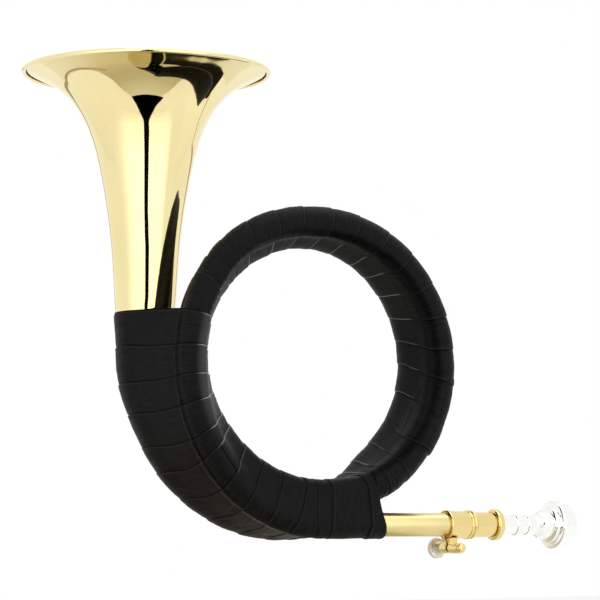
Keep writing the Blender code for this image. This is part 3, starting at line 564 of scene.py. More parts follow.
RING_EDGES = (
    (-54.0, -53.0, -52.0, -51.0, -46.0),
    (-26.0, -25.0, -24.0, -23.0, -17.0),
    (6.0, 7.0, 8.0, 9.5, 19.5),
    (26.0, 27.5, 29.0, 31.0, 38.0),
    (46.0, 48.8, 51.0, 53.0, 57.5),
    (76.0, 75.3, 74.6, 75.4, 80.9),
    (98.6, 97.6, 96.8, 96.8, 99.8),
    (114.6, 115.2, 115.5, 113.9, 116.8),
    (132.6, 132.8, 132.9, 133.8, 134.8),
    (150.5, 150.7, 151.0, 151.9, 152.7),
    (170.5, 170.7, 170.8, 171.4, 172.7),
    (186.4, 188.2, 189.9, 191.4, 191.0),
    (204.7, 207.4, 209.6, 211.3, 211.6),
    (223.6, 226.7, 228.4, 229.8, 231.6),
    (240.8, 244.8, 247.2, 249.6, 250.6),
    (257.9, 262.6, 265.2, 267.6, 270.5),
    (278.5, 282.5, 286.0, 289.0, 292.0),
    (303.0, 312.0, 317.0, 318.5, 315.8),
    (331.0, 336.0, 340.0, 343.2, 343.4),
    (359.5, 361.0, 361.4, 362.4, 362.6),
    (372.5, 370.6, 369.6, 371.0, 374.5),
    (392.0, 390.0, 390.0, 391.0, 394.0),
    (412.0, 410.0, 410.0, 411.0, 414.0),
)
# Where one strip ends and the next begins, in turns of the winding
BUNDLE_CUT = 6.80
RING_CUT = 14.20
# Where the leather starts and stops; the ring's two ends are tucked under the bundle's
BUNDLE_START = 2.2 * MM
RING_START = -9.0 * MM
RING_STOP = RING_LENGTH + 4.0 * MM
NECK_SLANT = 2.6 * MM
# Rows across a lap next to its exposed edge: distance in mm, share of the step, and how much lighter the
# lip is painted (a highlight, partly edge wear)
EDGE_ROWS = ((-0.32, 0.0, 0.0), (0.0, -0.95, 0.0), (0.07, 0.45, 0.6), (0.17, 0.92, 1.0), (0.42, 1.0, 0.3))
ROW_LENGTH = 0.85 * MM
LAP_STEP = 0.45 * MM
LAP_FALL = 0.8
STEP_CHANGE = 0.18
FLAP_RISE = 0.42 * MM
SKIN = 0.4 * MM
# How much closer than the CAD skin the leather lies on the coil's outer side, in mm, by the
# distance along the wrap in mm
CLOSER = {
    "bundle": ((0, 35, 60, 150, 200), (1.3, 1.25, 1.0, 1.0, 0.8)),
    "ring": (
        (-9, 2, 60, 130, 185, 250, 290, 330, 373),
        (1.15, 1.15, 1.2, 1.0, 0.1, -0.3, 0.0, 1.2, 1.2),
    ),
}
MOST_CLOSER = 1.15 * MM
LEAST_CLEAR = 0.5 * MM
# The soft valley between the tubes: distance along the wrap in mm, share round it, depth
VALLEY = {
    "bundle": (
        (0, 12, 60, 110, 150, 185),
        (0.873, 0.874, 0.877, 0.885, 0.885, 0.88),
        (0.3, 0.9, 1.0, 0.9, 0.3, 0.0),
    ),
    "ring": (
        (0, 60, 120, 200, 290, 330, 373),
        (0.66, 0.655, 0.66, 0.70, 0.72, 0.715, 0.70),
        (0.2, 0.5, 0.6, 0.6, 0.5, 0.5, 0.3),
    ),
}
CREASE_DEPTH = 0.9 * MM
CREASE_WIDTH = 1.8 * MM
# Slack between the tubes: everywhere, in the valley on top of that, and over what width
SLACK, VALLEY_SLACK, SLACK_WIDTH = 0.3, 0.6, 8 * MM
# How much thinner the winding starts and stops, and over what length
START_THIN = {"bundle": (0.7 * MM, 8 * MM), "ring": (1.1 * MM, 14 * MM)}
STOP_THIN = {"bundle": (0.0, 8 * MM), "ring": (0.9 * MM, 10 * MM)}
# Unevenness: length, width and height in mm of the folds and of the dents; rise of a lap
FOLD_LENGTH, FOLD_WIDTH, FOLD_RISE = 26 * MM, 3.2 * MM, 0.035
DENT_LENGTH, DENT_WIDTH, DENT_RISE = 14 * MM, 9 * MM, 0.05
CROWN = 0.10 * MM
# The band inside the coil painted lighter, as if lit from the side: from and to which share round the
# wrap and how softly, then its strength by distance along the wrap in mm; how much lighter its faces are
# painted by that distance
LIT_BAND = {
    "bundle": ((0.60, 0.80, 0.03), ((0, 62, 90, 112), (1, 1, 0.25, 0))),
    "ring": ((0.34, 0.575, 0.04), ((0, 205, 245, 350, 365), (1, 1, 0.4, 0.4, 0.8))),
}
LIT_BAND_FACES = {
    "bundle": ((0, 50, 75, 200), (0.075, 0.075, 0.022, 0.018)),
    "ring": ((0, 40, 80, 330), (0.08, 0.045, 0.02, 0.02)),
}
# Lightening of the lips outside the band, a painted highlight partly standing for edge wear, and how much
# more painted light the lips get in the band
LIP_WEAR_AND_HIGHLIGHT = {"bundle": 0.024, "ring": 0.045}
LIT_BAND_LIPS = 0.85
# How near the valley the leather gets duller, a painted shade, in mm
VALLEY_SHADE_TOP, VALLEY_SHADE_WIDTH = 1.25, 2.6


def winding(shares, edges):
    """The exposed edge's distance along the wrap, by turns of the winding."""
    turns = np.arange(len(edges))[:, None] + np.array(shares)
    return smooth_curve(turns.ravel(), np.array(edges).ravel() * MM, level_ends=False)


def window(value, low, high, soft):
    """1 between low and high, 0 outside, with soft flanks."""
    return eased((value - low) / soft + 0.5) * eased((high - value) / soft + 0.5)


def hump(distance, width):
    """1 at no distance, and softly down to 0 past the width."""
    return np.exp(-((distance / width) ** 2))


def bundle_detail(turns, share, _place, girth):
    """Changes to the step's height, and to the surface, on the bundle's wrap."""
    plain_start = 1 - window(turns, 0.86, 1.60, 0.06)
    cut = hump((share - BUNDLE_CUT % 1) * girth, 0.55 * MM)
    cut = cut * window(turns, BUNDLE_CUT - 0.3, BUNDLE_CUT + 0.3, 0.02)
    return plain_start, -FLAP_RISE * cut


def ring_detail(turns, share, place, girth):
    """The same on the ring, whose second strip starts under one long flap."""
    hidden = window(turns, 16.60, 17.56, 0.05)
    brink = np.interp(place / MM, (268, 282, 292, 316), (0.605, 0.575, 0.57, 0.588))
    flank = eased((share - brink) * girth / (1.7 * MM) + 0.5) * (1 - eased((share - 0.8) / 0.2))
    flap = flank * window(place, 268.0 * MM, 317.0 * MM, 1.5 * MM)
    return 1 - hidden, FLAP_RISE * flap


def skin_rings(kind, plane_at, extra_turns, span, sides):
    """Rings of the leather's surface a millimetre apart, with their outward directions."""
    start, stop = span
    distances = np.linspace(start, stop, int(np.ceil((stop - start) / MM)) + 1)
    bases, outwards, ellipses = cut_tubes(plane_at(distances), extra_turns)
    at, share_at, depth_at = VALLEY[kind]
    valley_share = np.interp(distances / MM, at, share_at)
    valley_depth = np.interp(distances / MM, at, depth_at)
    closer = np.interp(distances / MM, *CLOSER[kind]) * MM
    start_thin, start_reach = START_THIN[kind]
    stop_thin, stop_reach = STOP_THIN[kind]
    rings, girths = [], []
    rows = zip(distances, bases, outwards, ellipses, closer, valley_share, valley_depth)
    for place, base, outward, cut, nearer, valley, depth in rows:
        cut = cut.copy()
        middle = cut[:, :2].mean(axis=0)
        cut[:, :2] -= middle
        angles, girth = spread_angles(cut, sides)
        facing = np.cos(angles)
        off = ((np.arange(sides) / sides - valley + 0.5) % 1 - 0.5) * girth
        reach = strip_reach(angles, cut, SLACK + VALLEY_SLACK * hump(off, SLACK_WIDTH))
        reach -= depth * CREASE_DEPTH * hump(off, CREASE_WIDTH)
        thin = start_thin * hump(place - start, start_reach) * eased((0.4 - facing) / 0.8)
        thin += stop_thin * hump(stop - place, stop_reach) * eased((0.9 - facing) / 0.9)
        reach -= np.minimum(nearer * eased((facing + 0.1) / 0.7) + thin, MOST_CLOSER)
        reach = np.maximum(reach, tube_reach(angles, cut) + LEAST_CLEAR)
        points = base + (middle[0] + reach * facing)[:, None] * outward
        points[:, 1] += middle[1] + reach * np.sin(angles)
        rings.append(points)
        girths.append(girth)
    rings = np.array(rings)
    return rings, ring_normals(rings), np.array(girths), valley_share, valley_depth


def ring_normals(rings):
    """Outward directions at the rings' points."""
    along = np.gradient(rings, axis=0)
    around = np.roll(rings, -1, axis=1) - np.roll(rings, 1, axis=1)
    normals = np.cross(along, around)
    normals /= np.linalg.norm(normals, axis=-1, keepdims=True)
    outward = rings - rings.mean(axis=1, keepdims=True)
    return normals * np.sign((normals * outward).sum(-1, keepdims=True))


def ripples(x, y, seed, count):
    """A smooth, seeded sum of waves; x and y are in waves a unit."""
    draw = np.random.default_rng(seed)
    total = 0.0
    for _ in range(count):
        way = draw.uniform(-1.0, 1.0, 2)
        total = total + np.sin(tau * (way[0] * x + way[1] * y) + draw.uniform(0.0, tau))
    return total / np.sqrt(count)


def lap_rows(lap, rising):
    """Rows across one lap: distance from its edge, share of the lap, height, and lightening (a painted
    highlight on the lip, partly wear).
    """
    count = int(round(lap / ROW_LENGTH))
    edge = [(d * MM, 0.0, h, w) for d, h, w in EDGE_ROWS]
    body = [(0.0, v, (1 - v) ** LAP_FALL, 0.0) for v in np.linspace(0, 1, count + 1)[1:-1]]
    rows = np.array(edge + body)
    if rising:
        rows = rows[::-1] * np.array((-1, 1, 1, 1))
        rows[:, 1] = 1 - rows[:, 1]
    return rows


def wound_surface(kind, plane_at, extra_turns, span, shares, edges, lap, sides, rising, detail, seed):
    """The outer skin of a whole winding as a grid of laps, rows and columns."""
    start, stop = span
    skin = skin_rings(kind, plane_at, extra_turns, span, sides)
    rings, normals, girths, valley_share, valley_depth = skin
    edge_at = winding(shares, edges)
    rows = lap_rows(lap, rising)
    laps = np.arange(len(edges) - 1)
    offset, across, height, lip_lightening = (np.tile(rows[:, i], len(laps))[:, None] for i in range(4))
    side = np.arange(sides)[None, :]
    share = side / sides
    turns = np.repeat(laps, len(rows))[:, None] + share
    near, far = edge_at(turns), edge_at(turns + 1)
    place = near + across * (far - near) + offset
    slant = NECK_SLANT if kind == "bundle" else 0.0
    begin = start + slant * (1 - np.cos(tau * (share - 0.03))) / 2
    before, after = place <= begin + SEAT_GAP / 2, place >= stop - SEAT_GAP / 2
    inside = ~(before | after)
    held = np.clip(place, begin, stop)
    index = np.clip((held - start) / (stop - start) * (len(rings) - 1), 0, len(rings) - 1.001)
    low = index.astype(int)
    rest = (index - low)[..., None]
    columns = np.broadcast_to(side, place.shape)
    point = rings[low, columns] * (1 - rest) + rings[low + 1, columns] * rest
    normal = normals[low, columns] * (1 - rest) + normals[low + 1, columns] * rest
    girth = girths[low]
    edge_turns = turns + 1 if rising else turns
    keep, extra = detail(edge_turns, share, held, girth)
    step = LAP_STEP * keep * (1 + STEP_CHANGE * ripples(edge_turns * 0.9, 0.0, seed, 6))
    length, width = turns * girths.mean(), across * lap
    folds = ripples(length / FOLD_LENGTH, width / FOLD_WIDTH, seed + 1, 16)
    dents = ripples(length / DENT_LENGTH, width / DENT_WIDTH, seed + 2, 12)
    fade = np.clip(np.minimum(held - begin, stop - held) / (2 * MM), 0.0, 1.0)
    crown = CROWN * np.sin(pi * across)
    rise = step * height + crown + (FOLD_RISE * folds + DENT_RISE * dents) * MM * fade + extra
    rise = np.where(inside, rise, np.minimum(0.0, extra))
    point = point + normal * rise[..., None]
    # Painted light: the band inside the coil is made lighter, on its faces and on its lips
    band, strength = LIT_BAND[kind]
    inner = window(share, *band) * np.interp(held / MM, *strength)
    band_light = inner * np.interp(held / MM, *LIT_BAND_FACES[kind])
    # Painted shade: duller leather near the valley
    off = np.abs((share - valley_share[low] + 0.5) % 1 - 0.5) * girth / MM
    sunk = np.clip(VALLEY_SHADE_TOP - off / VALLEY_SHADE_WIDTH, 0.0, 1.0)
    return {
        "point": CENTRE + point,
        "inside": inside,
        "before": before,
        "strip": np.stack(np.broadcast_arrays(length, width, 0.0), -1),
        "wear_and_painted_light": np.maximum(lip_lightening * keep * (LIP_WEAR_AND_HIGHLIGHT[kind] + LIT_BAND_LIPS * inner), band_light),
        "sunk": sunk * np.minimum(valley_depth[low] * 2, 1.0),
        "rows": len(rows),
        "sides": sides,
    }


def skin_mesh(name, surface, low_turn, high_turn):
    """The part of a winding's skin between two turns, as one mesh."""
    sides, rows_a_lap = surface["sides"], surface["rows"]
    total = len(surface["point"])
    vertices, strips, wear_and_painted_light, where, faces, sunk = [], [], [], {}, [], []

    def vertex(row, column):
        if column == sides:
            row, column = row + rows_a_lap, 0
        if row >= total:
            return None
        if surface["inside"][row, column]:
            key = (row, column)
        else:
            key = ("start" if surface["before"][row, column] else "stop", column)
        if key not in where:
            where[key] = len(vertices)
            vertices.append(surface["point"][row, column])
            strips.append(surface["strip"][row, column])
            wear_and_painted_light.append(surface["wear_and_painted_light"][row, column])
        return where[key]

    for row in range(total - 1):
        for column in range(sides):
            turn = row // rows_a_lap + (column + 0.5) / sides
            if not low_turn < turn < high_turn:
                continue
            corners = [vertex(row, column), vertex(row, column + 1)]
            corners += [vertex(row + 1, column + 1), vertex(row + 1, column)]
            if None in corners:
                continue
            corners = [c for i, c in enumerate(corners) if c != corners[i - 1]]
            if len(set(corners)) > 2:
                faces.append(corners)
                sunk.append(surface["sunk"][row, column])
    mesh = mesh_of(name, vertices, faces)
    for look in LEATHER_LOOKS:
        mesh.materials.append(look)
    # Faces nearer the valley take duller copies of the leather: painted shade
    levels = np.searchsorted(VALLEY_SHADE_LEVELS, sunk)
    mesh.polygons.foreach_set("material_index", levels.astype(np.int32))
    mesh.attributes.new("strip", "FLOAT_VECTOR", "POINT").data.foreach_set(
        "vector", np.array(strips, np.float32).ravel()
    )
    # The edge attribute: painted light on the lips and on the band inside the coil, partly wear
    mesh.attributes.new("edge", "FLOAT", "POINT").data.foreach_set(
        "value", np.array(wear_and_painted_light, np.float32)
    )
    edit = bmesh.new()
    edit.from_mesh(mesh)
    loose = [v for v in edit.verts if not v.link_faces]
    bmesh.ops.delete(edit, geom=loose, context="VERTS")
    bmesh.ops.recalc_face_normals(edit, faces=edit.faces)
    edit.to_mesh(mesh)
    edit.free()
    mesh.shade_smooth()
    return mesh


def make_wraps():
    """The two windings, each cut where its second strip begins."""
    bundle = wound_surface(
        "bundle", bundle_plane, (0, 1, 2), (BUNDLE_START, BUNDLE_LENGTH), BUNDLE_SHARES, BUNDLE_EDGES,
        BUNDLE_LAP, 180, False, bundle_detail, 11,
    )
    ring = wound_surface(
        "ring", ring_plane, (0, 1), (RING_START, RING_STOP), RING_SHARES, RING_EDGES,
        RING_LAP, 130, True, ring_detail, 23,
    )
    pieces = (
        ("bell_wrap", bundle, -np.inf, BUNDLE_CUT),
        ("lower_wrap", bundle, BUNDLE_CUT, np.inf),
        ("upper_ring_wrap", ring, -np.inf, RING_CUT),
        ("right_ring_wrap", ring, RING_CUT, np.inf),
    )
    for node, surface, low_turn, high_turn in pieces:
        name = node + "_leather"
        mesh = skin_mesh(name, surface, low_turn, high_turn)
        wrap = new_object(name, mesh, "horn", None)
        skin = wrap.modifiers.new("thickness", "SOLIDIFY")
        skin.thickness = SKIN
        skin.offset = -1.0
        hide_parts(node)


# Brass and silver


def make_bell():
    """The flared shell from the curl round the rim wire down to the drawn-in tail."""
    tail_stop = BELL_JOINT + FERRULE_LENGTH / 2 + FERRULE_GAP
    shoulder = tail_stop + SHOULDER
    shares = np.linspace(0, 1, 110)[1:] ** 1.6
    heights = LIP[1] - (LIP[1] - shoulder) * shares
    flare = [(float(bell_radius(h)), h) for h in heights]
    tail = [(float(bell_radius(h)) - DRAW_IN, h) for h in (tail_stop, BELL_JOINT + TUBE_GAP)]
    line = [*CURL, *flare, *tail]
    inside = offset_line(line, WALL)
    mesh = lathe_mesh("bell_brass", [*line, *inside[::-1]], 256, CENTRE + BELL_AXIS, "Z")
    bell = new_object("bell_brass", mesh, "horn", LACQUERED)
    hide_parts("bell")


def make_leadpipe():
    """The straight pipe, drawn in where its ferrule goes over it."""
    radius, stop = 6.0, 92.5
    shoulder = LEADPIPE_JOINT + FERRULE_LENGTH / 2 + FERRULE_GAP
    line = [(radius, stop), (radius, shoulder + SHOULDER)]
    line += [(radius - DRAW_IN, shoulder), (radius - DRAW_IN, LEADPIPE_JOINT + TUBE_GAP)]
    inside = [(r - WALL, d) for r, d in line]
    mesh = lathe_mesh("leadpipe_brass", [*line, *inside[::-1]], 96, SLEEVE_AXIS, "X")
    pipe = new_object("leadpipe_brass", mesh, "horn", SATIN)
    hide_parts("leadpipe")


def make_receiver():
    """The ring with rolled edges, and its spigot in the sleeve."""
    start, stop, radius, roll = 103.0, 107.0, 8.1, 1.3
    bends = np.linspace(0, pi / 2, 9)
    outline = [(5.1, stop)]
    outline += [(radius - roll + roll * sin(a), stop - roll + roll * cos(a)) for a in bends]
    outline += [(radius - roll + roll * cos(a), start + roll - roll * sin(a)) for a in bends]
    outline += [(5.85, start), (5.85, start - 5.0), (4.8, start - 5.0)]
    mesh = lathe_mesh("receiver_ring", outline, 128, SLEEVE_AXIS, "X")
    receiver = new_object("receiver_ring", mesh, "tuning_slide", GOLD)
    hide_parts("receiver")


# Mouthpiece, outside and cup: distance from the receiver's face and radius, in mm
OUTSIDE = (
    (0.0, 4.9), (9.6, 4.9), (10.2, 5.5), (11.8, 5.5), (12.6, 4.7), (16.8, 4.7), (17.4, 5.25),
    (18.8, 5.25), (19.4, 4.8), (22.0, 4.8), (23.2, 5.0), (24.2, 5.7), (25.3, 6.55), (26.7, 7.25),
    (28.4, 7.6), (30.2, 7.55), (31.2, 7.3), (31.5, 8.3), (31.9, 9.1), (32.5, 9.5), (33.1, 9.5),
    (33.4, 9.2), (33.7, 9.8), (33.9, 11.2), (34.1, 12.0), (34.5, 12.55), (35.2, 12.8), (36.6, 12.8),
    (37.3, 12.2), (37.7, 11.7), (38.6, 11.45), (39.6, 11.2), (43.0, 10.9), (44.0, 10.3), (44.3, 9.4),
)
CUP = ((27.0, 2.2), (31.0, 4.0), (36.0, 6.4), (41.0, 7.9), (43.7, 8.5))


def make_mouthpiece():
    """Beads, bowl, flange and rim outside; the cup and the shank's bore inside."""
    outer = smooth_curve(*zip(*OUTSIDE), level_ends=False)
    cup = smooth_curve(*zip(*CUP), level_ends=False)
    fine = np.concatenate((np.linspace(0, 9.4, 8), np.arange(9.6, 44.3, 0.12), [44.3]))
    bowl = np.linspace(43.7, 27.0, 70)
    profile = [(9.0, 44.35), *[(float(outer(d)), d) for d in fine[::-1]], (4.1, -24.0), (3.3, -24.0)]
    profile += [(float(cup(d)), d) for d in bowl[::-1]]
    place = SLEEVE_AXIS + np.array((107.0 * MM, 0.0, 0.0))
    mesh = lathe_mesh("mouthpiece_silver", profile, 128, place, "X")
    piece = new_object("mouthpiece_silver", mesh, "mouthpiece", SILVER)
    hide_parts("mouthpiece")


def rounded(points, radius, count=5):
    """A closed outline with each corner turned into a small arc."""
    points = np.array(points, float)
    outline = []
    for before, corner, after in zip(np.roll(points, 1, axis=0), points, np.roll(points, -1, axis=0)):
        back, ahead = before - corner, after - corner
        reach = min(radius, np.linalg.norm(back) / 2.1, np.linalg.norm(ahead) / 2.1)
        first = corner + back / np.linalg.norm(back) * reach
        last = corner + ahead / np.linalg.norm(ahead) * reach
        for share in np.linspace(0.0, 1.0, count):
            outline.append((1 - share) ** 2 * first + 2 * share * (1 - share) * corner + share**2 * last)
    return outline


def joined(name, meshes):
    """One mesh of several."""
    edit = bmesh.new()
    for mesh in meshes:
        edit.from_mesh(mesh)
    whole = bpy.data.meshes.new(name)
    edit.to_mesh(whole)
    edit.free()
    return creased(whole)


def loft_mesh(name, sections):
    """A closed solid through rectangles of (x, y, half width, half depth, height), corners rounded."""
    points = []
    for x, y, wide, deep, height in sections:
        corner = [(-wide, -deep), (wide, -deep), (wide, deep), (-wide, deep)]
        ring = rounded(corner, 0.5 * min(wide, deep), 4)
        points += [((x + p[0]) * MM, (y + p[1]) * MM, height * MM) for p in ring]
    count = len(points) // len(sections)
    faces = grid_faces(len(sections), count, False, True)
    faces.append(tuple(range(count))[::-1])
    faces.append(tuple(range((len(sections) - 1) * count, len(sections) * count)))
    return mesh_of(name, np.array(points) + SLEEVE_AXIS, faces)


def without_slot(mesh, low, high):
    """The mesh with a box, in mm from the sleeve's axis, cut out of it."""
    box = bmesh.new()
    bmesh.ops.create_cube(box, size=1.0)
    for vertex in box.verts:
        share = (vertex.co.x + 0.5, vertex.co.y + 0.5, vertex.co.z + 0.5)
        vertex.co = [(a + (b - a) * k) * MM + c for a, b, k, c in zip(low, high, share, SLEEVE_AXIS)]
    box_mesh = bpy.data.meshes.new("slot_box")
    box.to_mesh(box_mesh)
    box.free()
    knife = add_object("slot_box", box_mesh)
    body = add_object("slotted", mesh)
    step = body.modifiers.new("slot", "BOOLEAN")
    step.operation = "DIFFERENCE"
    step.solver = "EXACT"
    step.object = knife
    bpy.context.view_layer.update()
    graph = bpy.context.evaluated_depsgraph_get()
    cut = bpy.data.meshes.new_from_object(body.evaluated_get(graph))
    bpy.data.objects.remove(body)
    bpy.data.objects.remove(knife)
    return creased(cut)


SLEEVE_START = 74.0
SCREW_X = 76.8
SCREW_Z = -12.0
SCREW_PLACE = SLEEVE_AXIS + np.array((SCREW_X, 0.0, SCREW_Z)) * MM
SPLIT = (-1.8, 0.2)
# Collar: radius, distance from the sleeve's start
COLLAR_OUTLINE = (
    (7.2, 0.0), (7.45, 0.15), (7.6, 0.55), (7.55, 1.05), (7.3, 1.45), (7.12, 1.75),
    (7.12, 12.1), (6.85, 12.3), (6.85, 12.5), (7.3, 12.7), (7.5, 13.1), (7.5, 13.5),
    (7.3, 13.9), (6.8, 14.1), (6.8, 14.35), (7.35, 14.6), (7.58, 15.0), (7.58, 15.4),
    (7.4, 15.85), (7.05, 16.2), (6.9, 16.5), (6.65, 16.5), (6.65, 0.9), (7.0, 0.15),
)
# Web between the collar and an ear's barrel: half its depth; half its width by height
WEB_HALF = 1.1
WEB = ((1.2, -10.6), (2.2, -9.9), (2.3, -9.0), (2.5, -8.1), (3.0, -7.4), (3.8, -6.95))


def make_sleeve():
    """The sleeve, slotted under the collar."""
    start, stop = SLEEVE_START + 0.1, 102.7
    outline = rounded([(6.5, start), (6.5, stop), (6.15, stop), (6.15, start)], 0.12, 3)
    tube = lathe_mesh("tuning_sleeve_brass", outline, 128, SLEEVE_AXIS, "X")
    slot = (SLEEVE_START - 1.0, -1.4, -8.0), (SLEEVE_START + 14.0, -0.2, 0.0)
    sleeve = new_object("tuning_sleeve_brass", without_slot(tube, *slot), "tuning_slide", GOLD)
    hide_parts("tuning_sleeve")


def make_collar():
    """The split collar, with a rim, two beads, and the ears that the screw goes through."""
    outline = [(radius, SLEEVE_START + along) for radius, along in COLLAR_OUTLINE]
    ring = lathe_mesh("collar_ring", outline, 160, SLEEVE_AXIS, "X")
    ring = without_slot(ring, (SLEEVE_START - 1.0, SPLIT[0], -9.0), (SLEEVE_START + 18.0, SPLIT[1], 0.0))
    parts = [ring]
    for start, stop in ((SPLIT[0] - 7.5, SPLIT[0]), (SPLIT[1], SPLIT[1] + 6.0)):
        barrel = rounded([(2.7, start), (2.7, stop), (1.8, stop), (1.8, start)], 0.35)
        parts.append(lathe_mesh("ear", barrel, 64, SCREW_PLACE, "Y"))
    for low in (SPLIT[0] - 2 * WEB_HALF, SPLIT[1]):
        web = [(SCREW_X, low + WEB_HALF, wide, WEB_HALF, height) for wide, height in WEB]
        parts.append(loft_mesh("web", web))
    collar = new_object("clamp_collar_brass", joined("clamp_collar_brass", parts), "tuning_slide", GOLD)
    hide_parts("clamp_collar")


def turned_nickel():
    """Nickel with the fine rings that a lathe leaves on a face, and warm, worn high spots."""
    shader = Shader("nickel_turned")
    clouds = shader.noise(shader.place(), 900.0, 3.0)
    turned = shader.node("ShaderNodeTangent", direction_type="RADIAL", axis="Y")
    shader.set(
        Base_Color=shader.ramp(clouds, (0.40, (0.60, 0.53, 0.44, 1.0)), (0.60, (0.80, 0.78, 0.73, 1.0))),
        Roughness=shader.remap(clouds, 0.22, 0.38),
        Tangent=turned.outputs["Tangent"],
        Metallic=1.0,
        Anisotropic=0.85,
    )
    return shader.material


KNURLS = 48
KNURL_DEPTH = 0.3
KNURLED_FROM = 5.2
# Screw: radius, distance from the middle of the split
SCREW_PROFILE = (
    (0.0, -12.6), (1.0, -12.6), (1.9, -12.2), (2.3, -11.6), (2.4, -11.0), (2.4, -9.8),
    (2.25, -9.6), (1.5, -9.6), (1.5, 6.5), (2.15, 6.5), (2.3, 6.65), (2.3, 10.3),
    (2.5, 10.5), (4.75, 10.5), (5.0, 10.6), (5.35, 10.95), (5.35, 12.55), (5.0, 12.9),
    (4.7, 13.0), (0.0, 13.0),
)


def make_screw():
    """The knurled disc on its shank, with a brass tip."""
    place = SCREW_PLACE
    mesh = lathe_mesh("clamp_screw_turned", SCREW_PROFILE, KNURLS * 6, place, "Y")
    for vertex in mesh.vertices:
        x, z = vertex.co.x - place[0], vertex.co.z - place[2]
        radius = np.hypot(x, z)
        if radius > KNURLED_FROM * MM:
            wave = 0.5 + 0.5 * cos(KNURLS * np.arctan2(z, x))
            share = 1 - KNURL_DEPTH * MM * wave / radius
            vertex.co.x, vertex.co.z = place[0] + x * share, place[2] + z * share
    screw = new_object("clamp_screw_turned", mesh, "clamp_screw", turned_nickel())
    mesh.materials.append(GOLD)
    tip = place[1] - 9.0 * MM
    for face in mesh.polygons:
        if face.center.y < tip:
            face.material_index = 1
    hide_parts("clamp_screw")


def make_bell_tail():
    """The bow under the bell's neck, which shows down the bell."""
    turns = np.concatenate((np.linspace(1.605, LAST_TURN, 60), [BELL_JOINT_TURN - 0.0006]))
    centres, radii, ways = path_points(turns), tube_radius(turns), path_ways(turns)
    side = np.cross(ways, (0.0, 1.0, 0.0))
    side /= np.linalg.norm(side, axis=-1, keepdims=True)
    deep = np.cross(ways, side)
    angles = tau * np.arange(48) / 48
    rows = []
    for wall, order in ((0.0, 1), (WALL * MM, -1)):
        for i in range(len(turns))[::order]:
            ring = np.cos(angles)[:, None] * side[i] + np.sin(angles)[:, None] * deep[i]
            rows.append(centres[i] + (radii[i] - wall) * ring)
    points = CENTRE + np.array(rows).reshape(-1, 3)
    mesh = mesh_of("bell_bow_brass", points, grid_faces(len(rows), len(angles), True, True))
    mesh.shade_smooth()
    bow = new_object("bell_bow_brass", mesh, "horn", LACQUERED)
    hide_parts("bell_bow")


def finish_nodes():
    """Gives the CAD nodes that stay their materials."""
    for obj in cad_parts.values():
        if not obj.hide_render:
            obj.data.materials.clear()
            obj.data.materials.append(BARE)


# Surroundings


def make_camera():
    """The photograph's view."""
    data = bpy.data.cameras.new("photograph")
    data.sensor_width = SENSOR
    data.lens = FOCAL_PIXELS * SENSOR / FRAME_PIXELS
    data.clip_start, data.clip_end = 0.01, 50.0
    camera = add_object("photograph", data)
    a, e = CAMERA_AZIMUTH, CAMERA_PITCH
    way = Vector((-sin(a) * cos(e), cos(a) * cos(e), sin(e)))
    camera.location = CENTRE + CAMERA_PLACE
    camera.rotation_mode = "QUATERNION"
    camera.rotation_quaternion = way.to_track_quat("-Z", "Y")
    bpy.context.scene.camera = camera


def floor_material():
    """Matt white paper."""
    shader = Shader("floor_white")
    grain = shader.noise(shader.place(), 6.0, 2.0)
    shade = shader.ramp(grain, (0.3, (0.89, 0.89, 0.89, 1.0)), (0.7, (0.91, 0.91, 0.91, 1.0)))
    shader.set(Base_Color=shade, Roughness=0.9, Specular_IOR_Level=0.1)
    return shader.material


def glow_material():
    """Light from a board, as bright as the points' colour attribute says."""
    shader = Shader("board_glow")
    glow = shader.node("ShaderNodeAttribute", attribute_name="glow").outputs["Color"]
    shader.set(Base_Color=(*BLACK, 1.0), Emission_Color=glow, Emission_Strength=1.0)
    shader.set(Roughness=1.0, Specular_IOR_Level=0.0)
    return shader.material


def board(name, rows, material):
    """A sheet through rows of (forward, sideways, height, glow), seen from the bell's axis.

    Only reflections show it. Forward is towards the camera.
    """
    towards = CAMERA_PLACE[:2] - BELL_AXIS[:2]
    forward = towards / np.linalg.norm(towards)
    sideways = np.array((-forward[1], forward[0]))
    points, glows = [], []
    for row in rows:
        for front, side, height, glow in row:
            flat = CENTRE[:2] + BELL_AXIS[:2] + front * forward + side * sideways
            points.append((flat[0], flat[1], height))
            glows.append(glow)
    mesh = mesh_of(name, points, grid_faces(len(rows), len(rows[0]), False, False))
    colours = mesh.attributes.new("glow", "FLOAT_COLOR", "POINT")
    colours.data.foreach_set("color", np.array([(*g, 1.0) for g in glows], np.float32).ravel())
    obj = add_object(name, mesh)
    mesh.materials.append(material)
    obj.visible_camera = False
    obj.visible_shadow = False
    obj.visible_diffuse = False
    obj.visible_transmission = False


FLOOR = -0.24
FLOOR_HALF = 1.8
BLACK = (0.0, 0.0, 0.0)
WHITE = (1.0, 1.0, 1.0)
# How high over the floor the boards lie
LIGHT_LIFT, BOUNCE_GLOW_LIFT, SLOT_LIFT, PAINTED_LINE_LIFT = 0.002, 0.004, 0.006, 0.007
# Dark slot between the light boards: forward, left edge, right edge, height over the floor
SLOT = (
    (0.187, -0.118, 0.141, 0.0),
    (0.23, -0.114, 0.128, 0.0),
    (0.297, -0.094, 0.095, 0.0),
    (0.358, -0.065, 0.063, 0.0),
    (0.42, -0.048, 0.048, 0.0),
    (0.483, -0.044, 0.045, 0.0),
    (0.56, -0.049, 0.065, 0.0),
    (0.83, -0.063, 0.091, 0.0),
    (1.1, -0.086, 0.122, 0.0),
    (1.4, -0.114, 0.156, 0.0),
    (1.4, -0.086, 0.228, 0.09),
    (1.4, -0.016, 0.288, 0.14),
    (1.4, -0.006, 0.298, 0.6),
)
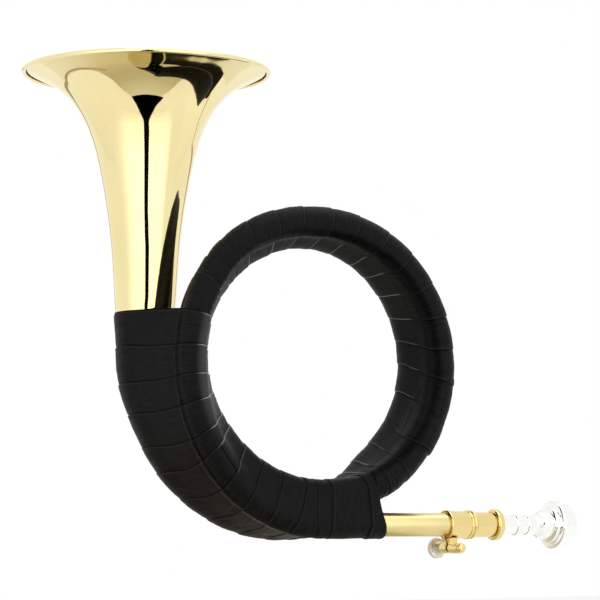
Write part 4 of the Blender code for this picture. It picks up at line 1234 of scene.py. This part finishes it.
# Glowing board under the bell, a painted warm reflection of light bounced off the brass: forward, half
# width, glow
BOUNCE_GLOW_ROWS = (
    (-0.60, 0.415, (0.92, 0.92, 0.90)),
    (-0.35, 0.270, (0.88, 0.86, 0.82)),
    (-0.243, 0.198, (0.80, 0.76, 0.68)),
    (-0.17, 0.172, (0.70, 0.62, 0.46)),
    (-0.10, 0.159, (0.60, 0.52, 0.38)),
    (0.0, 0.157, (0.54, 0.49, 0.36)),
    (0.056, 0.155, (0.56, 0.52, 0.40)),
    (0.12, 0.145, (0.66, 0.64, 0.55)),
    (0.187, 0.118, (0.74, 0.72, 0.66)),
)
# Light boards either side of the slot: degrees from the camera's direction, glow
LEFT_GLOW = ((3, 1.6), (12, 1.6), (30, 1.6), (46, 1.42), (58, 1.15), (70, 1.02), (80, 1.0))
RIGHT_GLOW = ((3, 1.6), (12, 1.6), (30, 1.6), (43, 1.6), (51, 1.36), (58, 1.02), (80, 1.0))
# Rows of a light board: distance from the bell's axis, height, share of the glow over white
BOARD_ROWS = ((0.36, 0.0, 0.15), (0.55, 0.0, 0.6), (0.9, 0.0, 1.0), (1.5, 0.0, 1.0), (1.5, 1.6, 1.0))

# Dark shade behind the horn, which the flare mirrors: forward and sideways of its two edges
SHADE = (
    (-0.058, 0.000, -0.040, 0.005),
    (-0.068, 0.020, -0.045, 0.025),
    (-0.078, 0.045, -0.055, 0.050),
    (-0.092, 0.069, -0.065, 0.075),
    (-0.113, 0.089, -0.075, 0.100),
    (-0.143, 0.107, -0.072, 0.130),
    (-0.180, 0.130, -0.070, 0.155),
    (-0.200, 0.156, -0.075, 0.180),
    (-0.190, 0.190, -0.085, 0.205),
    (-0.183, 0.222, -0.100, 0.235),
    (-0.178, 0.260, -0.125, 0.265),
    (-0.180, 0.300, -0.150, 0.290),
)
SHADE_HEIGHT = -0.112
SHADE_GLOW = (0.010, 0.009, 0.006)
# Thin glowing strips that paint brownish lines into the bell's reflection: forward, sideways, height,
# half width in degrees
PAINTED_LINES = (
    (
        (-0.086, -0.128, 0.0, 2.5),
        (-0.251, -0.184, 0.0, 1.5),
        (-0.339, -0.229, 0.0, 1.4),
        (-0.441, -0.304, 0.0, 1.4),
        (-0.533, -0.368, 0.0, 1.4),
        (-2.030, -0.909, 0.0, 1.6),
        (-2.100, -0.800, 0.7, 4.0),
    ),
    (
        (-0.300, 0.400, 0.0, 1.0),
        (-0.360, 0.503, 0.0, 1.0),
        (-0.589, 0.948, 0.0, 0.9),
        (-1.450, 2.100, 0.0, 0.9),
        (-2.200, 1.100, 0.5, 3.0),
    ),
)
# Brownish glow of those strips, the colour of the painted lines in the bell's reflection
PAINTED_LINE_GLOW = (0.42, 0.36, 0.26)


def make_boards():
    """The slot, the warm glow under the bell (a painted reflection of bounced light), the shade, the
    strips of painted brownish lines and the light boards that the brass mirrors.
    """
    glow = glow_material()
    dark = [
        [(front, left + (right - left) * k, FLOOR + SLOT_LIFT + rise, BLACK) for k in (0.0, 0.5, 1.0)]
        for front, left, right, rise in SLOT
    ]
    board("slot_board", dark, glow)
    # Warm glow under the bell: painted reflection of light bounced off the brass
    bounce_glow = [
        [(front, k * half, FLOOR + BOUNCE_GLOW_LIFT, shade) for k in (-1.0, 0.0, 1.0)]
        for front, half, shade in BOUNCE_GLOW_ROWS
    ]
    board("bounce_glow_board", bounce_glow, glow)
    for name, height, level in (
        ("shade_board", SHADE_HEIGHT, SHADE_GLOW),
        ("shade_back", SHADE_HEIGHT - 0.001, WHITE),
    ):
        board(name, [[(a, b, height, level), (c, d, height, level)] for a, b, c, d in SHADE], glow)
    # Strips that paint brownish lines into the bell's reflection
    for index, line_rows in enumerate(PAINTED_LINES):
        rows = []
        for front, side, rise, half in line_rows:
            reach, middle = np.hypot(front, side), np.arctan2(side, front)
            height = FLOOR + PAINTED_LINE_LIFT + rise
            turns = (middle - radians(half), middle + radians(half))
            rows.append([(reach * cos(turn), reach * sin(turn), height, PAINTED_LINE_GLOW) for turn in turns])
        board(f"painted_line_board_{index}", rows, glow)
    for name, hand, glows in (("left_board", -1, LEFT_GLOW), ("right_board", 1, RIGHT_GLOW)):
        rows = []
        for reach, rise, weight in BOARD_ROWS:
            row = []
            for angle, strength in glows:
                level = 1.0 + (strength - 1.0) * weight
                front, side = reach * cos(radians(angle)), hand * reach * sin(radians(angle))
                row.append((front, side, FLOOR + LIGHT_LIFT + rise, (level,) * 3))
            rows.append(row)
        board(name, rows, glow)


def softbox(name, place, target, size, power):
    """A square lamp that faces a target."""
    data = bpy.data.lights.new(name, "AREA")
    data.shape = "RECTANGLE"
    data.size, data.size_y = size, size
    data.energy = power
    lamp = add_object(name, data)
    lamp.location = place
    lamp.rotation_mode = "QUATERNION"
    lamp.rotation_quaternion = (target - place).to_track_quat("-Z", "Y")
    lamp.visible_camera = False


def make_surroundings():
    """White world, floor, lamp and boards."""
    scene = bpy.context.scene
    scene.view_settings.view_transform = "Standard"
    world = bpy.data.worlds.new("studio")
    scene.world = world
    world.use_nodes = True
    world.node_tree.nodes["Background"].inputs["Color"].default_value = (*WHITE, 1.0)
    world.node_tree.nodes["Background"].inputs["Strength"].default_value = 1.0
    corners = [(x * FLOOR_HALF, y * FLOOR_HALF, 0.0) for x, y in ((-1, -1), (1, -1), (1, 1), (-1, 1))]
    floor = add_object("floor", mesh_of("floor", corners, [(0, 1, 2, 3)]))
    floor.location = (0.0, 0.0, FLOOR)
    floor.data.materials.append(floor_material())
    middle = Vector(CENTRE)
    softbox("top_box", middle + Vector((0.3, -0.2, 2.0)), middle, 1.6, 9.0)
    make_boards()


make_camera()
make_wraps()
make_bell()
make_leadpipe()
make_receiver()
make_mouthpiece()
make_sleeve()
make_collar()
make_screw()
make_bell_tail()
finish_nodes()
make_surroundings()
